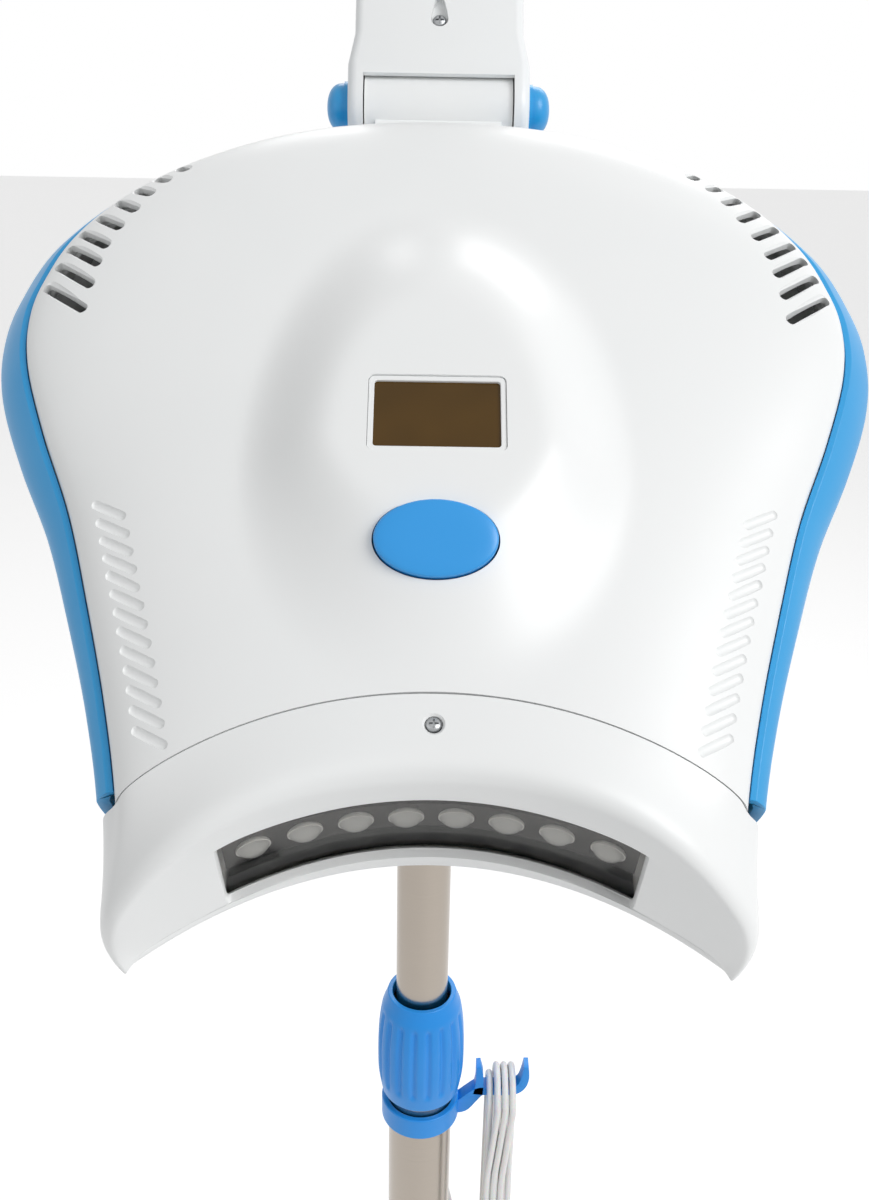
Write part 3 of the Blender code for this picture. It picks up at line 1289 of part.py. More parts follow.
def vent_cutters(sign):
    """Parallel slots behind one corner of the cover, longer towards the nose."""
    bm = bmesh.new()
    inward = Vector((-sign * math.cos(VENT_ANGLE), math.sin(VENT_ANGLE), 0))
    turn = Matrix.Rotation(math.atan2(-inward.y, inward.x) - math.pi / 2, 4, "Z")
    for k in range(VENT_COUNT):
        way = k / (VENT_COUNT - 1)
        share = mix(VENT_START_SHARE, VENT_END_SHARE, way) * sign
        length = mix(VENT_SHORT_LENGTH, VENT_LENGTH, way)
        p, n = outline(share)
        centre = p - n * (rim_inset(share) + VENT_INSET) + inward * length / 2
        base = head_point(centre.x, centre.y, rim_height(share) - SHELL_WALL * VENT_FLOOR_SHARE)
        placed_prism(bm, stadium(VENT_WIDTH, length, 3), 0, CENTRE_HEIGHT, Matrix.Translation(base) @ turn)
    return bm


def patch_place(x, s):
    """The patch's (u, t) under a place in plan, by Newton's method."""
    u, t = x / HEAD_HALF_WIDTH, 0.5
    for _ in range(25):
        p = plan(u, t)
        pu = (plan(u + 0.001, t) - p) / 0.001
        pt = (plan(u, t + 0.001) - p) / 0.001
        det = pu.x * pt.y - pt.x * pu.y
        dx, ds = x - p.x, s - p.y
        u += (dx * pt.y - pt.x * ds) / det
        t += (pu.x * ds - dx * pu.y) / det
        u, t = min(max(u, -0.99), 0.99), min(max(t, 0.01), 0.999)
    return u, t


def groove_cutters(sign):
    bm = bmesh.new()
    for k in range(GROOVE_COUNT):
        share = mix(GROOVE_START_SHARE, GROOVE_END_SHARE, k / (GROOVE_COUNT - 1)) * sign
        p, n = outline(share)
        middle = p - n * (rim_inset(share) + GROOVE_INSET)
        u, t = patch_place(middle.x, middle.y)
        place = surface_place(top_point, u, t, (sign, -GROOVE_SKEW_SHARE, 0))
        placed_prism(bm, stadium(GROOVE_WIDTH, GROOVE_LENGTH, 2), -GROOVE_DEPTH, OVERRUN, place)
    return bm


def tongue_opening():
    half = TONGUE_WIDTH / 2 + GAP * 2
    thick = TONGUE_THICKNESS / 2 + GAP * 2
    return block(bmesh.new(), (-half, -OVERRUN * 4, -thick), (half, 0, thick))


def make_covers(white, blue, head):
    stations = outline_stations()
    upper = solid("upper_cover", cover_shell(top_point, -1), white, head)
    combine(upper, helper("upper_skirt", sweep_round(
        stations, lambda share: skirt_profile(share, rim_height(share), 1)), head), "UNION")
    combine(upper, helper("upper_tongue_opening", tongue_opening(), head))

    lower = solid("lower_cover", cover_shell(low_point, 1), white, head)
    combine(lower, helper("lower_skirt", sweep_round(
        stations, lambda share: skirt_profile(share, low_rim(share), -1)), head), "UNION")
    combine(lower, helper("lower_tongue_opening", tongue_opening(), head))

    for sign, word in ((-1, "left"), (1, "right")):
        end = BRACKET_END_SHARE + BRACKET_GAP_SHARE
        shares = [s for s in stations if end < s * sign < BAND_END_SHARE]
        shares = sorted(shares + [end * sign, BAND_END_SHARE * sign], key=lambda s: s * sign)
        solid(f"trim_band_{word}", sweep_round(shares, band_profile), blue, head)
    return upper, lower


def make_head(white, blue, steel, black, green, clear, lens, amber, silver, head):
    upper, lower = make_covers(white, blue, head)
    vents = helper("vents_left", vent_cutters(-1), head)
    combine(upper, vents)
    combine(upper, helper("vents_right", vent_cutters(1), head))
    combine(upper, helper("grooves_left", groove_cutters(-1), head))
    combine(upper, helper("grooves_right", groove_cutters(1), head))

    bracket = bmesh.new()
    rod(bracket, ARM_DEPTH / 2 - RUN * 4, KNUCKLE_WIDTH, (-KNUCKLE_WIDTH / 2, 0, 0), (1, 0, 0), ROUND)
    part = solid("head_bracket", bracket, white, head)
    half = TONGUE_WIDTH / 2
    thick = TONGUE_THICKNESS / 2
    combine(part, helper("bracket_tongue", block(bmesh.new(), (-half, -TONGUE_LENGTH, -thick), (half, 0, thick)), head),
            "UNION")
    half_steps = BRACKET_STEPS // 2
    shares = [BRACKET_END_SHARE * k / half_steps for k in range(-half_steps, half_steps + 1)]
    combine(part, helper("bracket_plate", sweep_round(shares, band_profile), head), "UNION")
    combine(part, bolt_hole("bracket_hole", head, 0.0, BOLT_RADIUS + RUN))

    shroud = solid("nose_shroud", nose_shell(), white, head)
    screw = nose_screw_place()
    floor = screw @ Vector((0, 0, -SCREW_DEPTH))
    recess = rod(bmesh.new(), SCREW_RADIUS, SCREW_DEPTH + OVERRUN, floor, screw.to_3x3().col[2], SCREW_STEPS)
    combine(shroud, helper("nose_screw_recess", recess, head))

    behind = SHELL_WALL + PANE_GAP
    lap = PANE_MARGIN * PANE_EDGE_SHARE
    pane = curved_plate(WINDOW_HALF_WIDTH + PANE_MARGIN, lambda x: window_edge(x, lap), behind, PANE_THICKNESS)
    solid("outlet_window", pane, clear, head)
    behind += PANE_THICKNESS + LENS_STAND_OFF

    def bar_edges(_):
        return BAR_HEIGHT - BAR_HALF_HEIGHT, BAR_HEIGHT + BAR_HALF_HEIGHT

    bar = solid("lens_bar", curved_plate(BAR_HALF_WIDTH, bar_edges, behind, LENS_BAR), lens, head)
    domes = bmesh.new()
    for k in range(LENS_COUNT):
        x = (k - (LENS_COUNT - 1) / 2) * LENS_PITCH
        slope = (face_reach(x + FINE, BAR_HEIGHT) - face_reach(x - FINE, BAR_HEIGHT)) / (2 * FINE)
        tall = (face_reach(x, BAR_HEIGHT + FINE) - face_reach(x, BAR_HEIGHT - FINE)) / (2 * FINE)
        outward = Vector((-slope, -1, -tall)).normalized()
        rotation = Vector((0, 0, 1)).rotation_difference(outward).to_matrix().to_4x4()
        centre = Matrix.Translation(head_point(x, face_reach(x, BAR_HEIGHT) - behind - LENS_BAR / 2, BAR_HEIGHT))
        place = centre @ rotation @ Matrix.Diagonal((1, 1, LENS_DEPTH_SHARE, 1))
        bmesh.ops.create_uvsphere(domes, u_segments=10, v_segments=6, radius=LENS_RADIUS, matrix=place)
    combine(bar, helper("lens_domes", domes, head), "UNION")
    low, high = bar_edges(0)
    back_cut = curved_plate(BAR_HALF_WIDTH + OVERRUN, lambda _: (low - OVERRUN, high + OVERRUN), behind + LENS_BAR,
                            OVERRUN)
    combine(bar, helper("lens_back", back_cut, head))
    behind += LENS_BAR + GAP
    solid("led_board", curved_plate(BAR_HALF_WIDTH, bar_edges, behind, LED_BOARD), green, head)
    behind += LED_BOARD + GAP

    outline_points = []
    half = BAR_HALF_WIDTH - PANE_MARGIN
    bottom, top = bar_edges(0)
    level = top + GAP
    for k in range(SINK_STEPS + 1):
        x = half * (2 * k / SINK_STEPS - 1)
        outline_points.append((x, face_reach(x, level) - behind - GAP))
    back = face_reach(0, level) - behind - SINK_DEPTH
    pitch = 2 * half / SINK_FINS
    for k in range(SINK_FINS - 1, -1, -1):
        right = -half + (k + 1) * pitch - (pitch - SINK_FIN) / 2
        left = right - SINK_FIN
        for x, s in ((right, root_reach(right, level, behind)), (right, back), (left, back),
                     (left, root_reach(left, level, behind))):
            outline_points.append((x, s))
    sink = prism(bmesh.new(), [head_point(x, s, bottom) for x, s in outline_points], (0, 0, top - bottom))
    solid("heat_sink", sink, silver, head)

    fan_low = FAN_FOOT - CENTRE_DEPTH
    make_fan(head, black, white, fan_low)
    posts = bmesh.new()

    def post(x, s, top_height):
        u, t = patch_place(x, s)
        low_h = low_height(u, t) + SHELL_WALL / 2
        rod(posts, POST_RADIUS, top_height - low_h, head_point(x, s, low_h), steps=POST_STEPS)

    inset = POST_RADIUS * POST_INSET_SHARE
    for sx in (-1, 1):
        for s in (BOARD_START + inset, BOARD_END - inset):
            post(sx * (BOARD_HALF_WIDTH - inset), s, BOARD_HEIGHT - GAP)
        for ds in (-1, 1):
            post(sx * (FAN_SIZE / 2 - inset), FAN_PLACE + ds * (FAN_SIZE / 2 - inset), fan_low - GAP)
        post(sx * TONGUE_WIDTH * TONGUE_POST_SHARE, -HINGE_BEHIND + TONGUE_LENGTH - POST_RADIUS * 2,
             -HINGE_BELOW - TONGUE_THICKNESS / 2 - GAP)
        post(sx * half * SINK_POST_SHARE, back + POST_RADIUS * POST_BACK_SHARE, bottom - GAP)
    combine(lower, helper("posts", posts, head), "UNION")
    intake = bmesh.new()
    beside = int(FAN_SIZE * INTAKE_REACH_SHARE / INTAKE_PITCH)
    for k in range(-beside, beside + 1):
        s = FAN_PLACE + k * INTAKE_PITCH
        reach = math.sqrt((FAN_SIZE * INTAKE_REACH_SHARE) ** 2 - (s - FAN_PLACE) ** 2)
        place = Matrix.Translation(head_point(0, s, -CENTRE_DEPTH - OVERRUN)) @ Matrix.Rotation(math.pi / 2, 4, "Z")
        placed_prism(intake, stadium(INTAKE_WIDTH, 2 * reach, 2), 0, OVERRUN + SHELL_WALL * INTAKE_DEPTH_SHARE, place)
    combine(lower, helper("intake_slots", intake, head))

    board = block(bmesh.new(), head_point(-BOARD_HALF_WIDTH, BOARD_END, BOARD_HEIGHT),
                  head_point(BOARD_HALF_WIDTH, BOARD_START, BOARD_HEIGHT + BOARD_THICKNESS))
    solid("control_board", board, green, head)
    make_display(upper, head, amber, black)
    make_button(upper, head, blue, black)


def nose_shell():
    """The nose from the seam, over its rounded edge and down to the window, with its inner face."""
    outer = [inset_ring(nose_section(0.0), 0, GAP)]
    outer += [nose_section(k / NOSE_ROWS) for k in range(1, NOSE_ROWS + 1)]
    inner = [inset_ring(ring, SHELL_WALL, 0) for ring in outer]
    edge = outer[-1]
    for a in (math.radians(degrees) for degrees in NOSE_EDGE_DEGREES):
        inward, forward = NOSE_ROUNDING * (1 - math.cos(a)), NOSE_ROUNDING * math.sin(a)
        outer.append(inset_ring(edge, inward, forward))
        inner.append(inset_ring(edge, inward + SHELL_WALL * math.cos(a), forward - SHELL_WALL * math.sin(a)))
    rim = inset_ring(edge, NOSE_ROUNDING, 0)
    outer.append([Vector((p.x, face_reach(p.x, p.z), p.z)) for p in rim])
    inner.append([Vector((p.x, face_reach(p.x, p.z) - SHELL_WALL, p.z)) for p in rim])
    outer.append(window_ring())
    inner.append(window_ring(SHELL_WALL))
    rings = outer + list(reversed(inner))
    return loft(bmesh.new(), [[head_point(*p) for p in ring] for ring in rings], caps=False)


def root_reach(x, level, behind):
    return face_reach(x, level) - behind - SINK_PLATE


def nose_screw_place():
    """On the nose's middle line, square to it."""
    share = (SCREW_PLACE - SEAM_REACH) / (EDGE_REACH - NOSE_ROUNDING - SEAM_REACH)
    h = CENTRE_HEIGHT_NOSE
    return Matrix.Translation(head_point(0, SCREW_PLACE, mix(h, NOSE_RIM_HEIGHT + NOSE_RIM_CROWN, share)))


def make_fan(head, black, white, low):
    half = FAN_SIZE / 2
    middle = head_point(0, FAN_PLACE, low)
    bm = block(bmesh.new(), middle - Vector((half, half, 0)), middle + Vector((half, half, FAN_THICKNESS)))
    frame = solid("fan_frame", bm, black, head)
    bore = half - FAN_WALL
    ring = bmesh.new()
    turned(ring, [(FAN_HUB_RADIUS, -OVERRUN), (bore, -OVERRUN), (bore, FAN_THICKNESS + OVERRUN),
                  (0, FAN_THICKNESS + OVERRUN), (0, FAN_FLOOR), (FAN_HUB_RADIUS, FAN_FLOOR)], ROUND, middle)
    combine(frame, helper("fan_bore", ring, head))
    spokes = bmesh.new()
    rise = FAN_FLOOR / 2 + FAN_FLOOR * SPOKE_LIFT_SHARE
    size = Matrix.Diagonal((bore - FAN_HUB_RADIUS + FAN_WALL, FAN_SPOKE, FAN_FLOOR * FAN_SPOKE_SHARE, 1))
    out = Matrix.Translation(((FAN_HUB_RADIUS + bore) / 2, 0, rise))
    for k in range(FAN_SPOKES):
        turn = Matrix.Translation(middle) @ Matrix.Rotation(math.tau * (k + 1 / 2) / FAN_SPOKES, 4, "Z")
        bmesh.ops.create_cube(spokes, size=1.0, matrix=turn @ out @ size)
    combine(frame, helper("fan_spokes", spokes, head), "UNION")
    pin_length = FAN_THICKNESS * FAN_PIN_SHARE
    foot = middle + Vector((0, 0, FAN_FLOOR / 2))
    pin = rod(bmesh.new(), FAN_PIN_RADIUS, pin_length, foot, steps=PIN_STEPS)
    combine(frame, helper("fan_pin", pin, head), "UNION")

    spin = empty("fan_spin_axis", middle, parent=head)
    bm = bmesh.new()
    base = FAN_FLOOR + RUN
    top = FAN_THICKNESS - RUN * 2
    bore = FAN_PIN_RADIUS + RUN
    pin_top = pin_length + FAN_FLOOR / 2 + RUN
    turned(bm, [(0, top), (FAN_HUB_RADIUS, top), (FAN_HUB_RADIUS, base), (bore, base), (bore, pin_top),
                (0, pin_top)], ROTOR_STEPS)
    rotor = solid("fan_rotor", bm, white, spin)
    blades = bmesh.new()
    inner = FAN_HUB_RADIUS - FAN_HUB_WALL
    outer = half - FAN_WALL - RUN * 3
    size = Matrix.Diagonal((outer - inner - FAN_BLADE, FAN_BLADE, (top - base) * FAN_BLADE_SHARE, 1))
    out = Matrix.Translation(((inner + outer) / 2, 0, (top + base) / 2)) @ Matrix.Rotation(FAN_BLADE_TWIST, 4, "X")
    for k in range(FAN_BLADES):
        turn = Matrix.Rotation(math.tau * k / FAN_BLADES, 4, "Z")
        bmesh.ops.create_cube(blades, size=1.0, matrix=turn @ out @ size)
    combine(rotor, helper("fan_blades", blades, spin), "UNION")


def rectangle(a, b):
    return [(-a, -b), (a, -b), (a, b), (-a, b)]


def board_cut(name, target, head):
    """Trims the foot of a piece so that it stands on the control board."""
    wide = BOARD_HALF_WIDTH
    under = block(bmesh.new(), head_point(-wide, BOARD_END, -CENTRE_DEPTH),
                  head_point(wide, BOARD_START, BOARD_HEIGHT + BOARD_THICKNESS + GAP))
    combine(target, helper(name, under, head))


def make_display(upper, head, amber, black):
    place = middle_place(DISPLAY_PLACE)
    w, l = DISPLAY_WIDTH / 2, DISPLAY_LENGTH / 2
    pane_floor = -DISPLAY_RECESS - DISPLAY_PANE
    hole = placed_prism(bmesh.new(), rectangle(w + GAP, l + GAP), pane_floor - GAP, OVERRUN, place)
    combine(upper, helper("display_recess", hole, head))
    through = placed_prism(bmesh.new(), rectangle(w - DISPLAY_FRAME, l - DISPLAY_FRAME), -OVERRUN, OVERRUN, place)
    combine(upper, helper("display_opening", through, head))
    pane = placed_prism(bmesh.new(), rectangle(w, l), pane_floor, -DISPLAY_RECESS, place)
    solid("display_window", pane, amber, head)
    floor = (place.inverted() @ head_point(0, DISPLAY_PLACE, BOARD_HEIGHT + BOARD_THICKNESS + GAP)).z
    module = placed_prism(bmesh.new(), rectangle(w - MODULE_MARGIN, l - MODULE_MARGIN), floor - OVERRUN,
                          pane_floor - GAP, place)
    board_cut("module_foot", solid("display_module", module, black, head), head)


def oval(a, b):
    return [(a * math.cos(math.tau * k / OVAL_STEPS), b * math.sin(math.tau * k / OVAL_STEPS))
            for k in range(OVAL_STEPS)]


def make_button(upper, head, blue, black):
    place = middle_place(BUTTON_PLACE)
    a, b = BUTTON_HALF_WIDTH, BUTTON_HALF_LENGTH
    hole = placed_prism(bmesh.new(), oval(a + RUN, b + RUN), -OVERRUN, OVERRUN, place)
    combine(upper, helper("button_opening", hole, head))
    press = empty("button_press_axis", place.to_translation(), place.to_euler(), head)
    skirt = -BUTTON_SKIRT
    rings = [oval_ring(1, skirt - BUTTON_FLANGE, BUTTON_FLANGE), oval_ring(1, skirt, BUTTON_FLANGE)]
    rings += [oval_ring(1, skirt, 0)]
    rings += [oval_ring(wide, BUTTON_DOME * high, 0) for wide, high in BUTTON_SHARES]
    solid("button", loft(bmesh.new(), rings), blue, press)
    floor = (place.inverted() @ head_point(0, BUTTON_PLACE, BOARD_HEIGHT + BOARD_THICKNESS + GAP)).z
    half = SWITCH_SIZE / 2
    top = skirt - BUTTON_FLANGE - BUTTON_TRAVEL - GAP
    switch = placed_prism(bmesh.new(), rectangle(half, half), floor - OVERRUN, top, place)
    board_cut("switch_foot", solid("button_switch", switch, black, head), head)


def oval_ring(share, z, out):
    """A ring of the button: the opening's oval by a share, with a step outward."""
    return [(x, y, z) for x, y in oval(BUTTON_HALF_WIDTH * share + out, BUTTON_HALF_LENGTH * share + out)]


def main():
    clear_scene()
    white = finish("gloss white plastic", (0.86, 0.87, 0.87), 0.25)
    grey = finish("grey caster tread", (0.30, 0.31, 0.32), 0.6)
    black = finish("black plastic", (0.03, 0.03, 0.035), 0.45)
    steel = finish("brushed stainless steel", (0.62, 0.60, 0.57), 0.3, 1.0)
    blue = finish("sky blue plastic", (0.05, 0.42, 0.78), 0.32)
    cord = finish("white cord", (0.85, 0.85, 0.84), 0.5)
    green = finish("green circuit board", (0.05, 0.25, 0.10), 0.5)
    clear = finish("clear outlet pane", (0.75, 0.75, 0.78), 0.08, 0.0, 0.35)
    lens = finish("clear lens", (0.85, 0.88, 0.92), 0.1)
    amber = finish("dark amber display", (0.12, 0.055, 0.012), 0.12)
    silver = finish("aluminium", (0.75, 0.76, 0.78), 0.35, 1.0)
    make_base(white, grey, black)
    make_column(steel, blue, white, black)
    make_hook(blue)
    make_cord(cord, black)
    head = make_arm(steel, blue, white)
    make_head(white, blue, steel, black, green, clear, lens, amber, silver, head)
    bpy.context.view_layer.update()


main()
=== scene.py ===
# %% [markdown]
# # A teeth whitening lamp on a rolling stand
# The lamp is a moulded plastic head on a folding arm, a telescopic steel column and a star
# base on castors. Its solids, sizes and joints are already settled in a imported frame. This
# lesson dresses that frame: it gives each piece a fine surface and the finish that the real
# piece has. The first cell loads the frame, whose objects all sit at the origin in metres.

# %% Load the frame
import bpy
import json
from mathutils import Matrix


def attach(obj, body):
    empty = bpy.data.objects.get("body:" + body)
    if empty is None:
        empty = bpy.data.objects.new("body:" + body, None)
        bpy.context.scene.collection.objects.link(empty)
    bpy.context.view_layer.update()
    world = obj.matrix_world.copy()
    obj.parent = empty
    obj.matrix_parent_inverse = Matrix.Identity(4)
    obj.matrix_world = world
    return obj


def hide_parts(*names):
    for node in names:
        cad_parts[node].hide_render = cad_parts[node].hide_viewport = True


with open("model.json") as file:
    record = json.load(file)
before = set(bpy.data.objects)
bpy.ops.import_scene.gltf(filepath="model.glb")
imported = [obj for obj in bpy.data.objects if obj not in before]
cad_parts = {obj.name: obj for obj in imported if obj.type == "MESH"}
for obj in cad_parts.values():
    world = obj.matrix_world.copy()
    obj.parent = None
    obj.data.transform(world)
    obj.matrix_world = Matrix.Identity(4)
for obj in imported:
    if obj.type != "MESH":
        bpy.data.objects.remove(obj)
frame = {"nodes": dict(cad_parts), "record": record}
print("the frame has", len(frame["nodes"]), "pieces")

# %% Modules
import json
import math

import bmesh
import bpy
from mathutils import Matrix, Vector
from mathutils.bvhtree import BVHTree

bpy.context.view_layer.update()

# %% [markdown]
# ## The camera
# The picture was taken close to the head, from a little above it, looking down. A lens of
# 42 mm on a 36 mm high sensor has the same wide view. The camera turns first about the
# upright, then down, then rolls about its own axis, so three rotations are multiplied.

# %% Camera
CAMERA_PLACE = (-0.003, -0.523, 1.200)
CAMERA_DOWN = math.radians(27.0)
CAMERA_RIGHT = math.radians(0.6)
CAMERA_ROLL = math.radians(1.1)
LENS_MM = 42.0
SENSOR_MM = 36.0
NEAR_CLIP = 0.01

camera_data = bpy.data.cameras.new("camera")
camera_data.sensor_fit = "VERTICAL"
camera_data.sensor_height = SENSOR_MM
camera_data.lens = LENS_MM
camera_data.clip_start = NEAR_CLIP
camera = bpy.data.objects.new("camera", camera_data)
turn = Matrix.Rotation(-CAMERA_RIGHT, 4, "Z") @ Matrix.Rotation(math.pi / 2 - CAMERA_DOWN, 4, "X")
camera.matrix_world = Matrix.Translation(CAMERA_PLACE) @ turn @ Matrix.Rotation(CAMERA_ROLL, 4, "Z")
bpy.context.scene.collection.objects.link(camera)
bpy.context.scene.camera = camera
print("the camera stands", CAMERA_PLACE[2], "m above the floor")

# %% [markdown]
# ## Colours and nodes
# Paint and plastic colours are easiest to read as sRGB hex values, but a shader works in
# linear light, so one function converts them. A second small function adds any kind of
# node, sets its inputs and its options, and joins its links in one call.

# %% Helpers for colours and nodes
MM = 0.001


def linear(hex_colour):
    """An sRGB hex colour as linear red, green, blue and alpha."""
    parts = [int(hex_colour[k:k + 2], 16) / 255 for k in (1, 3, 5)]
    return [v / 12.92 if v <= 0.04045 else ((v + 0.055) / 1.055) ** 2.4 for v in parts] + [1.0]


def add_node(tree, kind, inputs=None, **options):
    """Adds a node. An input is a value, or an output socket to link to it."""
    node = tree.nodes.new(kind)
    for name, value in options.items():
        setattr(node, name, value)
    for name, value in (inputs or {}).items():
        if isinstance(value, bpy.types.NodeSocket):
            tree.links.new(value, node.inputs[name])
        else:
            node.inputs[name].default_value = value
    return node


def new_material(name, hex_colour, **sockets):
    """A Principled material, its tree and its shader, with the named sockets set."""
    material = bpy.data.materials.new(name)
    material.use_nodes = True
    shader = material.node_tree.nodes["Principled BSDF"]
    shader.inputs["Base Color"].default_value = linear(hex_colour)
    for socket, value in sockets.items():
        shader.inputs[socket.replace("_", " ")].default_value = value
    return material, material.node_tree, shader


print("blue #2f9be0 is", [round(v, 3) for v in linear("#2f9be0")], "in linear light")

# %% [markdown]
# ## Moulded plastics
# The covers are injection-moulded ABS from a polished tool: a satin gloss, with a very slight
# waviness where the wall shrank, and a fine grain that only softens the reflection. The
# blue trim, the button, the hook and the collar are the same plastic in another colour. A
# wide noise drives roughness and tint, and a fine one drives a shallow bump, both on
# Object coordinates, so they stay with the piece. Real grain is about 0.1 mm wide, too fine to
# show, so it is drawn coarser.

# %% Materials for the plastics
WAVE_MM = 38.0
GRAIN_MM = 0.45
GRAIN_DEPTH_MM = 0.006
PLASTIC_IOR = 1.52


def moulded_plastic(name, hex_colour, shade_hex, roughness, grain_mm=GRAIN_MM, grain_depth_mm=GRAIN_DEPTH_MM):
    """Injection-moulded plastic: base colour, the tint of its thicker places and its gloss."""
    material, tree, shader = new_material(name, hex_colour, IOR=PLASTIC_IOR)
    place = add_node(tree, "ShaderNodeTexCoord").outputs["Object"]
    wave = add_node(tree, "ShaderNodeTexNoise", {"Vector": place, "Scale": 1 / (WAVE_MM * MM), "Detail": 2.0})
    grain = add_node(tree, "ShaderNodeTexNoise", {"Vector": place, "Scale": 1 / (grain_mm * MM), "Detail": 3.0})
    tint = add_node(tree, "ShaderNodeMix", {"Factor": wave.outputs["Fac"], "A": linear(hex_colour),
                                            "B": linear(shade_hex)}, data_type="RGBA")
    gloss = add_node(tree, "ShaderNodeMapRange", {"Value": wave.outputs["Fac"], "From Min": 0.3, "From Max": 0.7,
                                                  "To Min": roughness * 0.85, "To Max": roughness * 1.2})
    bump = add_node(tree, "ShaderNodeBump", {"Height": grain.outputs["Fac"], "Strength": 0.35,
                                             "Distance": grain_depth_mm * MM})
    tree.links.new(tint.outputs["Result"], shader.inputs["Base Color"])
    tree.links.new(gloss.outputs["Result"], shader.inputs["Roughness"])
    tree.links.new(bump.outputs["Normal"], shader.inputs["Normal"])
    return material


white_abs = moulded_plastic("polished white ABS", "#f4f5f5", "#eff1f1", 0.34)
blue_abs = moulded_plastic("sky blue ABS", "#2fa4e2", "#2699d8", 0.34)
collar_blue = moulded_plastic("collar blue polypropylene", "#1898f0", "#128de6", 0.36)
button_blue = moulded_plastic("button blue ABS", "#2f9fea", "#2897e2", 0.34)
# Glass fibres at the surface make this nylon dull
black_nylon = moulded_plastic("black glass-filled nylon", "#1c1d1f", "#242527", 0.48, grain_mm=0.6,
                              grain_depth_mm=0.02)
gloss_black = moulded_plastic("polished black ABS", "#131415", "#191a1b", 0.12)
# A rubbery tread scatters light widely and shows a coarser grain
tread_grey = moulded_plastic("grey polyurethane tread", "#6b6d70", "#5f6164", 0.55, grain_mm=0.9,
                             grain_depth_mm=0.03)
print("made", len(bpy.data.materials), "materials so far")

# %% [markdown]
# ## Steel, aluminium, glass and the rest
# The column is drawn stainless tube, brushed round and round while it turned in a lathe, so
# its fine scratches run across it and stretch the highlight along it. A noise that is
# squeezed along Z draws them. Real scratches are a few hundredths of a millimetre wide, too
# fine to show, so they are drawn coarser. In this white studio the steel shows its own warm
# grey. The display is smoked amber acrylic, nearly opaque, and the outlet is a clear
# polycarbonate pane in front of moulded lenses.

# %% Materials for metal
SCRATCH_MM = 0.35
SCRATCH_LENGTH_MM = 90.0


def brushed_metal(name, hex_colour, dark_hex, roughness, along_z=False):
    """Brushed metal: scratches SCRATCH_MM wide that run round an upright piece, or along it."""
    material, tree, shader = new_material(name, hex_colour, Metallic=1.0, Anisotropic=0.45)
    place = add_node(tree, "ShaderNodeTexCoord").outputs["Object"]
    across, along = 1 / (SCRATCH_MM * MM), 1 / (SCRATCH_LENGTH_MM * MM)
    scale = (across, across, along) if along_z else (along, along, across)
    stretched = add_node(tree, "ShaderNodeMapping", {"Vector": place, "Scale": scale})
    scratch = add_node(tree, "ShaderNodeTexNoise", {"Vector": stretched.outputs["Vector"], "Scale": 1.0,
                                                    "Detail": 4.0})
    tint = add_node(tree, "ShaderNodeMix", {"Factor": scratch.outputs["Fac"], "A": linear(dark_hex),
                                            "B": linear(hex_colour)}, data_type="RGBA")
    gloss = add_node(tree, "ShaderNodeMapRange", {"Value": scratch.outputs["Fac"], "To Min": roughness * 0.75,
                                                  "To Max": roughness * 1.3})
    bump = add_node(tree, "ShaderNodeBump", {"Height": scratch.outputs["Fac"], "Strength": 0.08,
                                             "Distance": 0.01 * MM})
    tree.links.new(tint.outputs["Result"], shader.inputs["Base Color"])
    tree.links.new(gloss.outputs["Result"], shader.inputs["Roughness"])
    tree.links.new(bump.outputs["Normal"], shader.inputs["Normal"])
    return material


tube_steel = brushed_metal("brushed stainless tube", "#b3aaa0", "#a2998f", 0.22)
bolt_steel = brushed_metal("zinc-plated steel", "#b9bbbd", "#8f9193", 0.32)
fin_aluminium = brushed_metal("extruded aluminium", "#cfd1d3", "#b4b6b9", 0.38, along_z=True)
print("scratches are", SCRATCH_MM, "mm apart and", SCRATCH_LENGTH_MM, "mm long")

# %% Materials for panes, lenses, boards and the cord
CLOUD_MM = 16.0
TRACK_MM = 22.0
SHEATH_LINE_MM, SHEATH_LINE_LENGTH_MM = 0.5, 9.0
SHEATH_GLOW_MM = 1.2


def smoked_acrylic():
    """Polished acrylic, dark amber all through, over an unlit display."""
    material, tree, shader = new_material("smoked amber acrylic", "#4f380f", Roughness=0.12, IOR=1.3)
    place = add_node(tree, "ShaderNodeTexCoord").outputs["Object"]
    cloud = add_node(tree, "ShaderNodeTexNoise", {"Vector": place, "Scale": 1 / (CLOUD_MM * MM), "Detail": 1.0})
    tint = add_node(tree, "ShaderNodeMix", {"Factor": cloud.outputs["Fac"], "A": linear("#46310c"),
                                            "B": linear("#5a4013")}, data_type="RGBA")
    tree.links.new(tint.outputs["Result"], shader.inputs["Base Color"])
    return material


def clear_plastic(name, hex_colour, roughness, scuff_mm, ior):
    """Clear polycarbonate with the faint wipe marks of a pane that is cleaned often."""
    material, tree, shader = new_material(name, hex_colour, Transmission_Weight=1.0, IOR=ior)
    place = add_node(tree, "ShaderNodeTexCoord").outputs["Object"]
    scuff = add_node(tree, "ShaderNodeTexNoise", {"Vector": place, "Scale": 1 / (scuff_mm * MM), "Detail": 3.0})
    gloss = add_node(tree, "ShaderNodeMapRange", {"Value": scuff.outputs["Fac"], "To Min": roughness * 0.6,
                                                  "To Max": roughness * 1.5})
    tree.links.new(gloss.outputs["Result"], shader.inputs["Roughness"])
    return material


